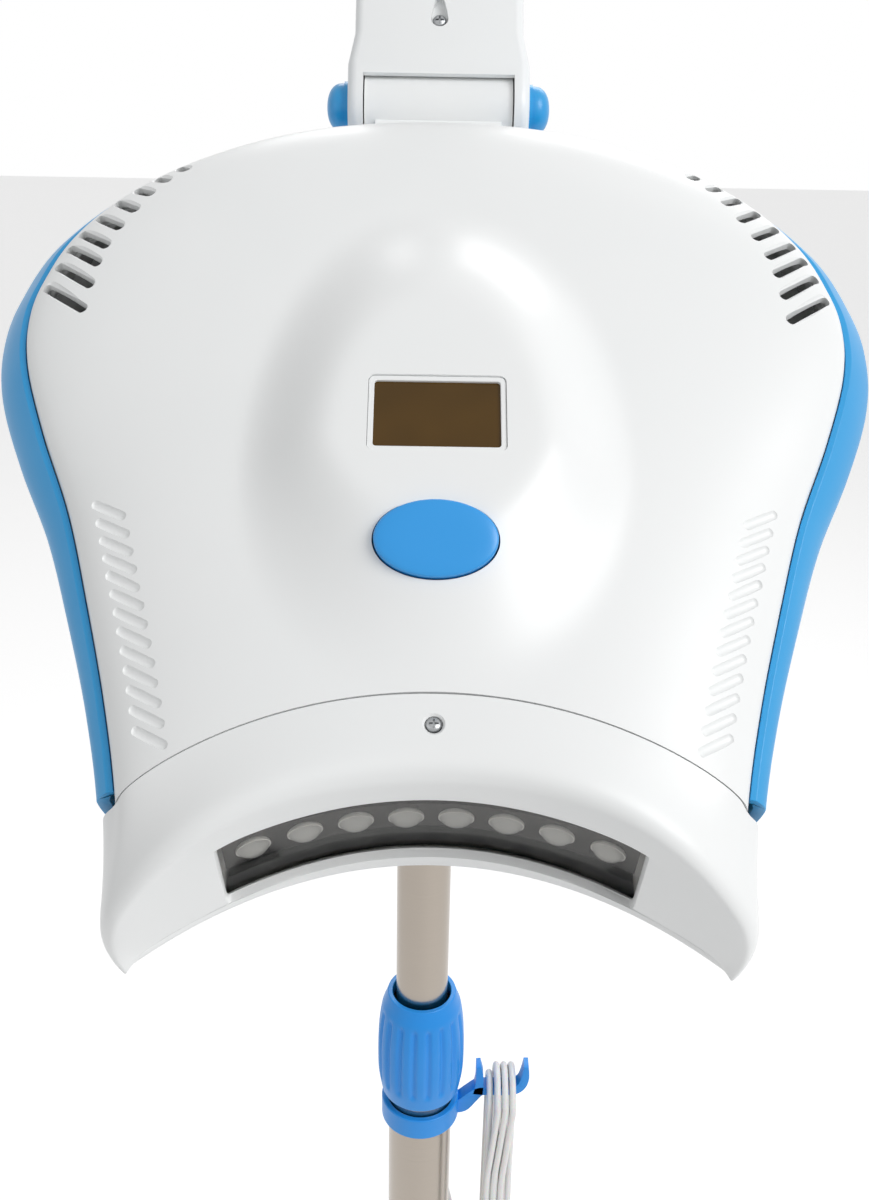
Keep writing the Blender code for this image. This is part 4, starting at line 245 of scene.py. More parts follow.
def solder_mask():
    """Green board lacquer with the faint lighter lines of copper tracks below it."""
    material, tree, shader = new_material("green solder mask", "#12512a", Roughness=0.35, Coat_Weight=0.3)
    place = add_node(tree, "ShaderNodeTexCoord").outputs["Object"]
    tracks = add_node(tree, "ShaderNodeTexBrick", {"Vector": place, "Scale": 1 / (TRACK_MM * MM),
                                                   "Mortar Size": 0.03, "Color1": linear("#12512a"),
                                                   "Color2": linear("#144f2b"),
                                                   "Mortar": linear("#2a7440")})
    tree.links.new(tracks.outputs["Color"], shader.inputs["Base Color"])
    return material


def soft_sheath():
    """The cord's thin white PVC sheath: soft, a little translucent, with fine extrusion lines."""
    material, tree, shader = new_material("white PVC sheath", "#f0f0ee", Roughness=0.38, Subsurface_Weight=0.25,
                                          Subsurface_Scale=SHEATH_GLOW_MM * MM, Sheen_Weight=0.05)
    place = add_node(tree, "ShaderNodeTexCoord").outputs["Object"]
    across, along = 1 / (SHEATH_LINE_MM * MM), 1 / (SHEATH_LINE_LENGTH_MM * MM)
    stretched = add_node(tree, "ShaderNodeMapping", {"Vector": place, "Scale": (across, across, along)})
    lines = add_node(tree, "ShaderNodeTexNoise", {"Vector": stretched.outputs["Vector"], "Scale": 1.0, "Detail": 2.0})
    tint = add_node(tree, "ShaderNodeMix", {"Factor": lines.outputs["Fac"], "A": linear("#e6e6e4"),
                                            "B": linear("#f6f6f5")}, data_type="RGBA")
    bump = add_node(tree, "ShaderNodeBump", {"Height": lines.outputs["Fac"], "Strength": 0.2, "Distance": 0.02 * MM})
    tree.links.new(tint.outputs["Result"], shader.inputs["Base Color"])
    tree.links.new(bump.outputs["Normal"], shader.inputs["Normal"])
    return material


amber_acrylic = smoked_acrylic()
# Polycarbonate's own index is 1.58. These are lower, so that the white room doesn't veil the lamps.
clear_pane = clear_plastic("clear polycarbonate pane", "#f4f2ee", 0.03, 12.0, 1.22)
clear_lens = clear_plastic("clear moulded lens", "#f2f4f6", 0.08, 6.0, 1.45)
board_green = solder_mask()
cord_white = soft_sheath()
print("made", len(bpy.data.materials), "materials")

# %% [markdown]
# ## The cord
# The supply lead is thin and limp, 3.2 mm thick. It leaves a gland behind the outer tube,
# sags, rises into a hank of loops that is laid over the hook's cradle, and ends in a barrel
# plug. On the real lamp the hank is wound by hand and dropped over the hook. One open curve
# with a round bevel is the whole lead, so its centreline has the lead's real length. Each
# loop climbs from one slot of the cradle to the next, and the second layer lies on the first.

# %% The cord's route
CORD_RADIUS = 1.6 * MM
STRAND_PITCH = 3.8 * MM
FOLD_RADIUS = 10.5 * MM
HANK_LEG = 118.0 * MM
HANK_SLOTS = 4
FIRST_SLOT = 35.05 * MM
STRAP_HALF = 3.5 * MM
CRADLE_FLOOR = 658.6 * MM
CLEAR = 0.3 * MM
TAIL_LENGTH = 40.0 * MM
TAIL_POINTS = 6
LEG_POINTS = 5
BEND_POINTS = 7
CLIMB = [0.0, 0.0, 0.0, 1.0, 1.0]
SHIFT = [[0.0, 0.0, 0.0, 0.0, 0.5], [0.0, 0.5, 1.0, 1.0, 1.0]]
CORD_EXIT = (0.0, 0.0286, 0.6000)
LEAD_ROUTE = [CORD_EXIT, (0.0, 0.0330, 0.6000), (0.0008, 0.0385, 0.5992), (0.0022, 0.0450, 0.5955),
              (0.0040, 0.0500, 0.5880), (0.0062, 0.0525, 0.5770), (0.0086, 0.0523, 0.5640), (0.0114, 0.0498, 0.5500),
              (0.0148, 0.0450, 0.5360), (0.0188, 0.0385, 0.5225), (0.0234, 0.0305, 0.5110), (0.0282, 0.0220, 0.5042),
              (0.0322, 0.0150, 0.5045), (0.0346, 0.0114, 0.5110), (0.0351, 0.0105, 0.5180), (0.0351, 0.0105, 0.5250)]
fold_centre = CRADLE_FLOOR - math.sqrt((FOLD_RADIUS - CORD_RADIUS - CLEAR) ** 2 - (STRAP_HALF + CLEAR) ** 2)
leg_end = fold_centre - HANK_LEG


def mix(a, b, share):
    return a + (b - a) * share


def hank_route():
    """Centre line of the hank: up behind the strap, over the cradle and down in front of it."""
    passes = [(k, 0, k + 1, 0) for k in range(HANK_SLOTS - 1)] + [(HANK_SLOTS - 1, 0, HANK_SLOTS - 1, 1)]
    passes += [(k, 1, k - 1, 1) for k in range(HANK_SLOTS - 1, 0, -1)]
    route = []
    for number, (slot, layer, next_slot, next_layer) in enumerate(passes):
        r, after = FOLD_RADIUS + layer * STRAND_PITCH, FOLD_RADIUS + next_layer * STRAND_PITCH
        x, next_x = FIRST_SLOT + slot * STRAND_PITCH, FIRST_SLOT + next_slot * STRAND_PITCH
        route += [Vector((x, r, leg_end + HANK_LEG * k / LEG_POINTS)) for k in range(LEG_POINTS)]
        for k in range(BEND_POINTS):
            a = math.pi * k / BEND_POINTS
            route.append(Vector((x, r * math.cos(a), fold_centre + r * math.sin(a))))
        for k in range(LEG_POINTS):
            across = mix(x, next_x, SHIFT[layer][k])
            route.append(Vector((across, -mix(r, after, CLIMB[k]), fold_centre - HANK_LEG * k / LEG_POINTS)))
        if number == len(passes) - 1:
            route.append(Vector((next_x, -after, leg_end)))
            continue
        for k in range(BEND_POINTS):
            a = math.pi * k / BEND_POINTS
            route.append(Vector((next_x, -after * math.cos(a), leg_end - after * math.sin(a))))
    return route


hank = hank_route()
tail = [hank[-1] - Vector((0, 0, TAIL_LENGTH * k / TAIL_POINTS)) for k in range(1, TAIL_POINTS + 1)]
route = [Vector(p) for p in LEAD_ROUTE] + hank + tail
print("the route has", len(route), "points and ends at", [round(v, 4) for v in route[-1]])

# %% The cord as one smooth curve
STEPS_PER_SPAN = 5


def smooth_route(points, steps):
    """Catmull-Rom points through the given ones."""
    ends = [2 * points[0] - points[1]] + points + [2 * points[-1] - points[-2]]
    found = []
    for a, b, c, d in zip(ends, ends[1:], ends[2:], ends[3:]):
        for k in range(steps):
            t = k / steps
            found.append(0.5 * (2 * b + (c - a) * t + (2 * a - 5 * b + 4 * c - d) * t ** 2
                                + (3 * b - a - 3 * c + d) * t ** 3))
    return found + [points[-1]]


def round_line(name, points, radius, material, ring=6):
    """A curve of one open line with a round section and closed ends."""
    curve = bpy.data.curves.new(name, "CURVE")
    curve.dimensions = "3D"
    curve.bevel_depth = radius
    curve.bevel_resolution = ring
    curve.use_fill_caps = True
    curve.twist_mode = "MINIMUM"
    line = curve.splines.new("POLY")
    line.points.add(len(points) - 1)
    for point, place in zip(line.points, points):
        point.co = (*place, 1.0)
    line.use_smooth = True
    curve.materials.append(material)
    obj = bpy.data.objects.new(name, curve)
    bpy.context.scene.collection.objects.link(obj)
    return obj


cord_line = smooth_route(route, STEPS_PER_SPAN)
cord_length = sum((b - a).length for a, b in zip(cord_line, cord_line[1:]))
cord = round_line("supply_cord", cord_line, CORD_RADIUS, cord_white)
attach(cord, "base")
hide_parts("cord_lead", "cord_hank", "cord_tail")
print("the cord is", round(cord_length, 3), "m long")

# %% [markdown]
# ## Dressing the solids
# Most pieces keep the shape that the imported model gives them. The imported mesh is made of
# loose triangles, so a copy is merged, its flat faces are joined again, and a small bevel
# rounds each sharp edge, as every moulded or machined edge is rounded on the real lamp.

# %% A helper that dresses one node
body_of_node = {node: body for body, nodes in frame["record"]["behaviour"]["bodies"].items() for node in nodes}
slot_of_node = {part["node"]: part["material_slot"] for part in frame["record"]["subparts"]}
MERGE = 0.002 * MM
SHARP = math.radians(32.0)
FLAT = math.radians(0.6)


def place_mesh(name, bm, material, body, slot, *nodes, sharp=SHARP):
    """Makes an object from a bmesh, smooth but for its sharp edges, and ties it to its body."""
    mesh = bpy.data.meshes.new(name)
    bm.to_mesh(mesh)
    bm.free()
    mesh.materials.append(material)
    mesh.shade_smooth()
    mesh.set_sharp_from_angle(angle=sharp)
    obj = bpy.data.objects.new(name, mesh)
    bpy.context.scene.collection.objects.link(obj)
    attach(obj, body)
    if nodes:
        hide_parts(*nodes)
    return obj


def rounded(obj, bevel_mm, segments=3, angle=SHARP):
    """Adds a bevel to the edges that turn by more than the angle."""
    bevel = obj.modifiers.new("edges", "BEVEL")
    bevel.width = bevel_mm * MM
    bevel.segments = segments
    bevel.limit_method = "ANGLE"
    bevel.angle_limit = angle
    bevel.harden_normals = True
    return obj


def dressed(node, material, bevel_mm=0.0, segments=3, sharp=SHARP):
    """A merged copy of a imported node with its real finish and, where asked, rounded edges."""
    bm = bmesh.new()
    bm.from_mesh(frame["nodes"][node].data)
    bmesh.ops.remove_doubles(bm, verts=bm.verts, dist=MERGE)
    bmesh.ops.dissolve_limit(bm, angle_limit=FLAT, verts=bm.verts, edges=bm.edges)
    obj = place_mesh(node + "_dressed", bm, material, body_of_node[node], slot_of_node[node], node, sharp=sharp)
    return rounded(obj, bevel_mm, segments) if bevel_mm else obj


print(len(slot_of_node), "nodes take", len(set(slot_of_node.values())), "slots")

# %% [markdown]
# ## The head's own axes
# The head hangs from its hinge and slopes down towards the patient. Its form is simplest in
# its own axes: x across, s down the slope from the widest line, and h square to the cover.
# The hinge is read from the frame, so the dressed head stays on its joint.

# %% The head's axes
HEAD_SLOPE = math.radians(33.0)
HINGE_BEHIND = 104.7 * MM
HINGE_BELOW = 3.0 * MM
joints = {joint["name"]: joint for joint in frame["record"]["behaviour"]["joints"]}
DOWN = Vector((0, -math.cos(HEAD_SLOPE), -math.sin(HEAD_SLOPE)))
OFF = Vector((0, -math.sin(HEAD_SLOPE), math.cos(HEAD_SLOPE)))
head_origin = Vector(joints["head_tilt"]["pos_m"]) + DOWN * HINGE_BEHIND + OFF * HINGE_BELOW


def head_at(x, s, h):
    return head_origin + Vector((x, 0, 0)) + DOWN * s + OFF * h


def stood_on(place, up, ahead):
    """A matrix at a place, Z along up and Y as near ahead as it can be."""
    up = up.normalized()
    ahead = (ahead - up * ahead.dot(up)).normalized()
    across = ahead.cross(up)
    columns = Matrix((across, ahead, up)).transposed().to_4x4()
    return Matrix.Translation(place) @ columns


print("the head's widest line stands", round(head_origin.z, 3), "m above the floor")

# %% [markdown]
# ## The outline seen from above
# Seen square to its cover the head is a shield: a wide rounded rear that tapers to the nose.
# A curve through a few points gives one half, as shares of the half width and of the reach
# behind and before the widest line. A place on it is a share from 0 at the rear middle to 1
# at the nose tip, negative on the left.

# %% The outline
HALF_WIDTH = 115.0 * MM
REAR_LENGTH = 84.0 * MM
TIP_LENGTH = 151.0 * MM
REAR_SHAPE = [(0.0, 1.0), (0.29, 0.962), (0.54, 0.845), (0.76, 0.655), (0.92, 0.4), (0.985, 0.17)]
FRONT_SHAPE = [(1.0, 0.0), (0.98, 0.1), (0.915, 0.23), (0.83, 0.37), (0.765, 0.51), (0.695, 0.68), (0.645, 0.84),
               (0.62, 1.0)]
OUTLINE_POINTS = 900
CURVE_STEPS = 30
SLOPE_REACH = 6


def even_points(points, count):
    """Points at equal distances along a smooth route."""
    dense = smooth_route(points, CURVE_STEPS)
    lengths = [0.0]
    for a, b in zip(dense, dense[1:]):
        lengths.append(lengths[-1] + (b - a).length)
    found, k = [], 0
    for n in range(count):
        wanted = lengths[-1] * n / (count - 1)
        while k < len(dense) - 2 and lengths[k + 1] < wanted:
            k += 1
        step = lengths[k + 1] - lengths[k]
        found.append(dense[k].lerp(dense[k + 1], (wanted - lengths[k]) / step if step else 0.0))
    return found


def half_outline():
    shape = [Vector((x * HALF_WIDTH, -s * REAR_LENGTH, 0)) for x, s in REAR_SHAPE]
    shape += [Vector((x * HALF_WIDTH, s * TIP_LENGTH, 0)) for x, s in FRONT_SHAPE]
    mirrored = [Vector((-p.x, p.y, 0)) for p in reversed(shape[1:3])]
    points = even_points(mirrored + shape, OUTLINE_POINTS)
    return points[min(range(len(points)), key=lambda i: abs(points[i].x)):]


half_line = half_outline()


def outline(share):
    """Point (x, s) and outward normal on the widest outline."""
    place = min(abs(share), 1.0) * (len(half_line) - 1)
    k = min(int(place), len(half_line) - 2)
    p = half_line[k].lerp(half_line[k + 1], place - k)
    along = (half_line[min(k + 1 + SLOPE_REACH, len(half_line) - 1)] - half_line[max(k - SLOPE_REACH, 0)]).normalized()
    along = Vector((1, 0, 0)).lerp(along, min(place / SLOPE_REACH, 1.0)).normalized()
    side = 1.0 if share >= 0 else -1.0
    return Vector((side * p.x if place else 0.0, p.y)), Vector((side * along.y, -along.x))


print("half of the outline has", len(half_line), "points")

# %% [markdown]
# ## The covers' surface
# A cover fills the outline with a sheet between the rear rim, two side rims and the seam
# with the nose: the sum of the two ways across, less their common bilinear part, as in a
# Coons patch. Its height leaves every rim upright and levels off at once, which is the soft
# rounded edge of the moulding. The podium is one wide shaded dome on top of it that carries
# the display.

# %% The covers' surface
SHOULDER = 0.375
SEAM = 0.925
RIM_INSET, RIM_INSET_NOSE = 9.0 * MM, 3.0 * MM
RIM_HEIGHT, RIM_HEIGHT_NOSE = 17.0 * MM, 5.0 * MM
LOW_RIM, LOW_RIM_NOSE = 15.0 * MM, 18.0 * MM
TOP_HEIGHT, TOP_HEIGHT_NOSE = 31.0 * MM, 23.0 * MM
LOW_DEPTH, LOW_DEPTH_NOSE = 34.0 * MM, 23.5 * MM
BAND_LIP = 1.5 * MM
SEAM_GAP = 0.3 * MM
SEAM_REACH = 107.0 * MM
CROWN_POWER = 2.4
REAR_ROLL = 0.42
PODIUM_HEIGHT = 10.5 * MM
PODIUM_PLACE = 50.0 * MM
PODIUM_HALF_WIDTH = 47.0 * MM
PODIUM_REAR, PODIUM_FRONT = 80.0 * MM, 62.0 * MM
PODIUM_PLATEAU = 0.5


def ease(share):
    share = min(max(share, 0.0), 1.0)
    return share * share * (3 - 2 * share)


def towards_nose(share, rear, nose):
    return mix(rear, nose, ease((abs(share) - SHOULDER) / (SEAM - SHOULDER)))


def rim_point(share):
    p, n = outline(share)
    return p - n * (towards_nose(share, RIM_INSET, RIM_INSET_NOSE) + BAND_LIP + SEAM_GAP)


def seam_at(u):
    end = rim_point(SEAM)
    return Vector((u * end.x, SEAM_REACH + (end.y - SEAM_REACH) * u * u))


def plan(u, t):
    """Place (x, s) on the covers, u from -1 left to 1 right and t from 0 rear to 1 seam."""
    v = (u + 1) / 2
    side = mix(SHOULDER, SEAM, t)
    sides = rim_point(-side).lerp(rim_point(side), v)
    ends = rim_point(u * SHOULDER).lerp(seam_at(u), t)
    flat = rim_point(-SHOULDER).lerp(rim_point(SHOULDER), v).lerp(seam_at(-1).lerp(seam_at(1), v), t)
    return sides + ends - flat


def crown(u):
    return math.sqrt(max(1 - abs(u) ** CROWN_POWER, 0.0))


def roll(t):
    return math.sqrt(1 - (1 - min(max(t / REAR_ROLL, 0.0), 1.0)) ** 3)


def podium(x, s):
    reach = PODIUM_REAR if s < PODIUM_PLACE else PODIUM_FRONT
    r = math.hypot(x / PODIUM_HALF_WIDTH, (s - PODIUM_PLACE) / reach)
    shrink = 1.0 if s < PODIUM_PLACE else 1 - min((s - PODIUM_PLACE) / reach, 1.0)
    inner = PODIUM_PLATEAU * shrink
    return PODIUM_HEIGHT * (1 - ease((r - inner) / (1 - inner)))


def upper_at(u, t):
    p = plan(u, t)
    rim = towards_nose(mix(SHOULDER, SEAM, t), RIM_HEIGHT, RIM_HEIGHT_NOSE)
    centre = mix(TOP_HEIGHT, TOP_HEIGHT_NOSE, t * t)
    return head_at(p.x, p.y, rim + (centre - rim) * crown(u) * roll(t) + podium(p.x, p.y))


def lower_at(u, t):
    p = plan(u, t)
    rim = -towards_nose(mix(SHOULDER, SEAM, t), LOW_RIM, LOW_RIM_NOSE)
    centre = -mix(LOW_DEPTH, LOW_DEPTH_NOSE, t * t)
    return head_at(p.x, p.y, rim + (centre - rim) * crown(u) * roll(t))


top_middle = max((upper_at(0.0, k / 20) - head_origin).dot(OFF) for k in range(21))
print("the cover's top stands", round(top_middle / MM, 1), "mm over the middle plane")

# %% [markdown]
# ## Walls with real openings
# A cover is a grid whose points are moved onto the surface, closer together near the rims
# where it turns fast, and then extruded inwards by the wall. The vents, the grip grooves,
# the display and the button are cut out of that closed wall with Boolean differences, so
# their edges and depths are real. The cut mesh is taken from the evaluated object, and the
# cutters are removed.

# %% Helpers for walls and cuts
WALL = 2.4 * MM
ACROSS_STEPS = 132
ALONG_STEPS = 116
SIDE_SPREAD = 1.42
ROW_SPREAD = 1.5
NEWTON_STEPS = 25


def spread(k, count):
    v = 2.0 * k / count - 1.0
    return math.sin(SIDE_SPREAD * v) / math.sin(SIDE_SPREAD)


def cover_wall(surface, inward):
    """A closed wall under surface(u, t)."""
    bm = bmesh.new()
    bmesh.ops.create_grid(bm, x_segments=ACROSS_STEPS, y_segments=ALONG_STEPS, size=1.0)
    made = bmesh.ops.extrude_face_region(bm, geom=list(bm.faces), use_keep_orig=True)
    inner = {item for item in made["geom"] if isinstance(item, bmesh.types.BMVert)}
    for v in bm.verts:
        column = round((v.co.x + 1) / 2 * ACROSS_STEPS)
        row = round((v.co.y + 1) / 2 * ALONG_STEPS)
        v.co = surface(spread(column, ACROSS_STEPS), (row / ALONG_STEPS) ** ROW_SPREAD)
        if v in inner:
            v.co += OFF * inward * WALL
    bmesh.ops.recalc_face_normals(bm, faces=bm.faces)
    return bm


def scratch_object(name, bm):
    mesh = bpy.data.meshes.new(name)
    bm.to_mesh(mesh)
    bm.free()
    obj = bpy.data.objects.new(name, mesh)
    bpy.context.scene.collection.objects.link(obj)
    return obj


def cut(bm, *cutters):
    """The closed mesh with each cutter taken away."""
    target = scratch_object("cut_target", bm)
    helpers = []
    for number, cutter in enumerate(cutters):
        bmesh.ops.recalc_face_normals(cutter, faces=cutter.faces)
        helpers.append(scratch_object(f"cutter_{number}", cutter))
        boolean = target.modifiers.new(f"cut_{number}", "BOOLEAN")
        boolean.operation = "DIFFERENCE"
        boolean.solver = "EXACT"
        boolean.object = helpers[-1]
    graph = bpy.context.evaluated_depsgraph_get()
    result = bmesh.new()
    result.from_mesh(target.evaluated_get(graph).to_mesh())
    for obj in [target] + helpers:
        mesh = obj.data
        bpy.data.objects.remove(obj)
        bpy.data.meshes.remove(mesh)
    bmesh.ops.remove_doubles(result, verts=result.verts, dist=MERGE)
    return result


def surface_frame(surface, u, t, ahead):
    """A matrix on a surface, Z along its outward normal."""
    step = 0.0005
    across = surface(u + step, t) - surface(u - step, t)
    along = surface(u, t + step) - surface(u, t - step)
    normal = across.cross(along)
    return stood_on(surface(u, t), -normal if normal.dot(OFF) < 0 else normal, ahead)


def patch_place(x, s):
    """The (u, t) of a place in plan, found by Newton's steps."""
    u, t, step = x / HALF_WIDTH, 0.5, 0.001
    for _ in range(NEWTON_STEPS):
        p = plan(u, t)
        pu = (plan(u + step, t) - p) / step
        pt = (plan(u, t + step) - p) / step
        det = pu.x * pt.y - pt.x * pu.y
        u += ((x - p.x) * pt.y - pt.x * (s - p.y)) / det
        t += (pu.x * (s - p.y) - (x - p.x) * pu.y) / det
        u, t = min(max(u, -0.99), 0.99), min(max(t, 0.01), 0.999)
    return u, t


def prism(bm, ring, depth):
    """A closed prism from a ring of points, extruded by a vector."""
    base = bm.faces.new([bm.verts.new(p) for p in ring])
    made = bmesh.ops.extrude_face_region(bm, geom=[base], use_keep_orig=True)
    moved = [item for item in made["geom"] if isinstance(item, bmesh.types.BMVert)]
    bmesh.ops.translate(bm, verts=moved, vec=depth)
    return bm


def slot_ring(width, length, steps=8):
    """A slot's outline with round ends, along Y."""
    r = width / 2
    ring = []
    for end, first in ((length / 2 - r, 0.0), (r - length / 2, math.pi)):
        for k in range(steps + 1):
            a = first + math.pi * k / steps
            ring.append((r * math.cos(a), end + r * math.sin(a)))
    return ring


def trough(bm, place, width, length, depth, steps=12):
    """A rounded trough, width across at the surface: a capsule that dips below it by depth."""
    half = width / 2
    r = (half * half + depth * depth) / (2 * depth)
    made = bmesh.ops.create_uvsphere(bm, u_segments=steps * 2, v_segments=steps, radius=r)
    for v in made["verts"]:
        v.co.y += math.copysign(length / 2 - half, v.co.y) if abs(v.co.y) > MERGE else 0.0
        v.co.z += r - depth
        v.co = place @ v.co
    return bm


print("a cover has", ACROSS_STEPS * ALONG_STEPS, "faces on its outer side")

# %% [markdown]
# ## Vents, grooves, display and button
# Behind each corner of the upper cover lie parallel vent slots, longer towards the nose. In
# the mould each one has a soft lip, so a shallow trough is cut first and the slot through
# its floor. Down each side runs a row of short grip grooves, each a rounded trough. The
# display sits in a square-cornered recess, and the button fills an oval hole.

# %% Cutters for the upper cover
VENTS = 9
VENT_FIRST, VENT_LAST = 0.262, 0.462
VENT_LENGTH, VENT_SHORT = 16.5 * MM, 4.5 * MM
VENT_WIDTH = 2.8 * MM
VENT_INSET = 4.5 * MM
VENT_ANGLE = math.radians(40.0)
LIP = 0.7 * MM
LIP_DEPTH = 0.35 * MM
GROOVES = 13
GROOVE_FIRST, GROOVE_LAST = 0.715, 0.895
GROOVE_LENGTH, GROOVE_WIDTH, GROOVE_DEPTH = 11.0 * MM, 2.5 * MM, 0.8 * MM
GROOVE_INSET = 11.5 * MM
GROOVE_SKEW = 0.5
DEEP = 10.0 * MM


def corner_slots(sign, lips):
    """The vents of one side: their troughs if lips, or else the slots through the wall."""
    bm = bmesh.new()
    inward = Vector((-sign * math.cos(VENT_ANGLE), math.sin(VENT_ANGLE)))
    for k in range(VENTS):
        way = k / (VENTS - 1)
        share = mix(VENT_FIRST, VENT_LAST, way) * sign
        length = mix(VENT_SHORT, VENT_LENGTH, way)
        p, n = outline(share)
        centre = p - n * (towards_nose(share, RIM_INSET, RIM_INSET_NOSE) + VENT_INSET) + inward * length / 2
        ahead = Vector((inward.x, 0, 0)) + DOWN * inward.y
        u, t = patch_place(centre.x, centre.y)
        if lips:
            trough(bm, surface_frame(upper_at, u, t, ahead), VENT_WIDTH + 2 * LIP, length + 2 * LIP, LIP_DEPTH + LIP)
            continue
        place = stood_on(upper_at(u, t) - OFF * DEEP, OFF, ahead)
        ring = [place @ Vector((x, y, 0)) for x, y in slot_ring(VENT_WIDTH, length)]
        prism(bm, ring, OFF * 2 * DEEP)
    return bm


def grip_grooves(sign):
    bm = bmesh.new()
    for k in range(GROOVES):
        share = mix(GROOVE_FIRST, GROOVE_LAST, k / (GROOVES - 1)) * sign
        p, n = outline(share)
        middle = p - n * (towards_nose(share, RIM_INSET, RIM_INSET_NOSE) + GROOVE_INSET)
        u, t = patch_place(middle.x, middle.y)
        place = surface_frame(upper_at, u, t, Vector((sign, 0, 0)) - DOWN * GROOVE_SKEW)
        trough(bm, place, GROOVE_WIDTH, GROOVE_LENGTH, GROOVE_DEPTH)
    return bm


print("cutters for", 2 * VENTS, "vents and", 2 * GROOVES, "grooves")

# %% Places on the cover's middle line
DISPLAY_PLACE = 43.0 * MM
DISPLAY_WIDTH, DISPLAY_LENGTH = 32.0 * MM, 20.8 * MM
DISPLAY_CORNER = 1.6 * MM
FRAME_WIDTH = 1.4 * MM
PANE = 1.4 * MM
BUTTON_PLACE = 75.5 * MM
BUTTON_WIDE, BUTTON_LONG = 13.8 * MM, 8.8 * MM
BUTTON_GAP = 0.4 * MM
BUTTON_DOME = 1.2 * MM


def middle_frame(s):
    _, t = patch_place(0.0, s)
    return surface_frame(upper_at, 0.0, t, -DOWN)


def round_rectangle(width, length, corner, steps=8):
    ring = []
    for number in range(4):
        centre_x = (width / 2 - corner) * (1 if number in (0, 3) else -1)
        centre_y = (length / 2 - corner) * (1 if number < 2 else -1)
        for k in range(steps + 1):
            a = math.pi / 2 * (number + k / steps)
            ring.append((centre_x + corner * math.cos(a), centre_y + corner * math.sin(a)))
    return ring


def oval_ring(wide, long, steps=96):
    return [(wide * math.cos(math.tau * k / steps), long * math.sin(math.tau * k / steps)) for k in range(steps)]


def placed(ring, place, height=0.0):
    return [place @ Vector((x, y, height)) for x, y in ring]


def through(ring, place, low, high):
    """A prism through the cover from low to high along the place's normal."""
    return prism(bmesh.new(), placed(ring, place, low), place.to_3x3().col[2] * (high - low))


display_frame = middle_frame(DISPLAY_PLACE)
button_frame = middle_frame(BUTTON_PLACE)
print("the display's middle is at", [round(v, 3) for v in display_frame.translation])

# %% The upper cover, cut
outer_display = round_rectangle(DISPLAY_WIDTH, DISPLAY_LENGTH, DISPLAY_CORNER)
upper = cut(cover_wall(upper_at, -1),
            corner_slots(-1, True), corner_slots(1, True), corner_slots(-1, False), corner_slots(1, False),
            grip_grooves(-1), grip_grooves(1),
            through(outer_display, display_frame, -DEEP, DEEP),
            through(oval_ring(BUTTON_WIDE + BUTTON_GAP, BUTTON_LONG + BUTTON_GAP), button_frame, -DEEP, DEEP))
upper_cover = place_mesh("upper_cover_shell", upper, white_abs, "head", "white_plastic", "upper_cover")
print("the upper cover has", len(upper_cover.data.polygons), "faces")

# %% [markdown]
# ## The lower cover
# The lower cover is the deeper half. Under the fan it has a row of intake slots, cut
# straight through, and its wall is the same sheet turned over.

# %% The lower cover, cut
FAN_PLACE = -12.0 * MM
INTAKES = 7
INTAKE_WIDTH = 3.0 * MM
INTAKE_PITCH = 7.5 * MM
INTAKE_REACH = 25.2 * MM

intake = bmesh.new()
for k in range(INTAKES):
    s = FAN_PLACE + (k - (INTAKES - 1) / 2) * INTAKE_PITCH
    half = math.sqrt(INTAKE_REACH ** 2 - (s - FAN_PLACE) ** 2)
    place = stood_on(head_at(0, s, -LOW_DEPTH - DEEP), OFF, Vector((1, 0, 0)))
    prism(intake, placed(slot_ring(INTAKE_WIDTH, 2 * half), place), OFF * 2 * DEEP)
lower_cover = place_mesh("lower_cover_shell", cut(cover_wall(lower_at, 1), intake), white_abs, "head",
                         "white_plastic", "lower_cover")
print("the lower cover has", len(lower_cover.data.polygons), "faces")

# %% [markdown]
# ## The blue trim
# A blue band closes the gap between the covers all the way round from the hinge bracket to
# the nose. It bulges out to the widest outline, and its rims turn in behind the covers'
# rounded edges, which leaves the thin dark line seen between white and blue. The bracket
# that carries the head is the white piece of the same ring at the rear.

# %% The trim band and the skirts
BAND_WALL = 3.0 * MM
BAND_END = 0.915
BAND_START = 0.093
BAND_STEPS = 12
BAND_STATIONS = 150
SKIRT_WALL = 2.2 * MM
SKIRT_END = 0.908
SKIRT_LEVELS = (0.7, 0.4)


def ring_skin(rings, hollow):
    """A closed skin over equal rings, and their vertices. In a hollow one the last ring joins the first."""
    bm = bmesh.new()
    rows = [[bm.verts.new(p) for p in ring] for ring in rings]
    loops = [[bm.edges.new((a, b)) for a, b in zip(row, row[1:] + row[:1])] for row in rows]
    for a, b in zip(loops, loops[1:] + loops[:1] if hollow else loops[1:]):
        bmesh.ops.bridge_loops(bm, edges=a + b)
    if not hollow:
        bm.faces.new(rows[0])
        bm.faces.new(rows[-1])
    bmesh.ops.recalc_face_normals(bm, faces=bm.faces)
    return bm, rows


def rim_heights(share):
    return (towards_nose(share, RIM_HEIGHT, RIM_HEIGHT_NOSE), -towards_nose(share, LOW_RIM, LOW_RIM_NOSE))


def bulge(share, height_share):
    """How far inside the widest outline the band lies at a share of its rim's height."""
    return towards_nose(share, RIM_INSET, RIM_INSET_NOSE) * height_share ** 2


def band_section(share):
    """Closed section of the band as (inset, height): outer side down, then inner side up."""
    top, low = rim_heights(share)
    lip = towards_nose(share, RIM_INSET, RIM_INSET_NOSE) + BAND_LIP
    levels = [(k / BAND_STEPS, top) for k in range(BAND_STEPS, 0, -1)] + [(k / BAND_STEPS, low)
                                                                          for k in range(BAND_STEPS + 1)]
    outer = [(bulge(share, part), rim * part) for part, rim in levels]
    inner = [(min(inset + BAND_WALL, lip), h) for inset, h in outer[2:-2]]
    return outer + [(lip, low), (lip, low + WALL)] + list(reversed(inner)) + [(lip, top - WALL), (lip, top)]


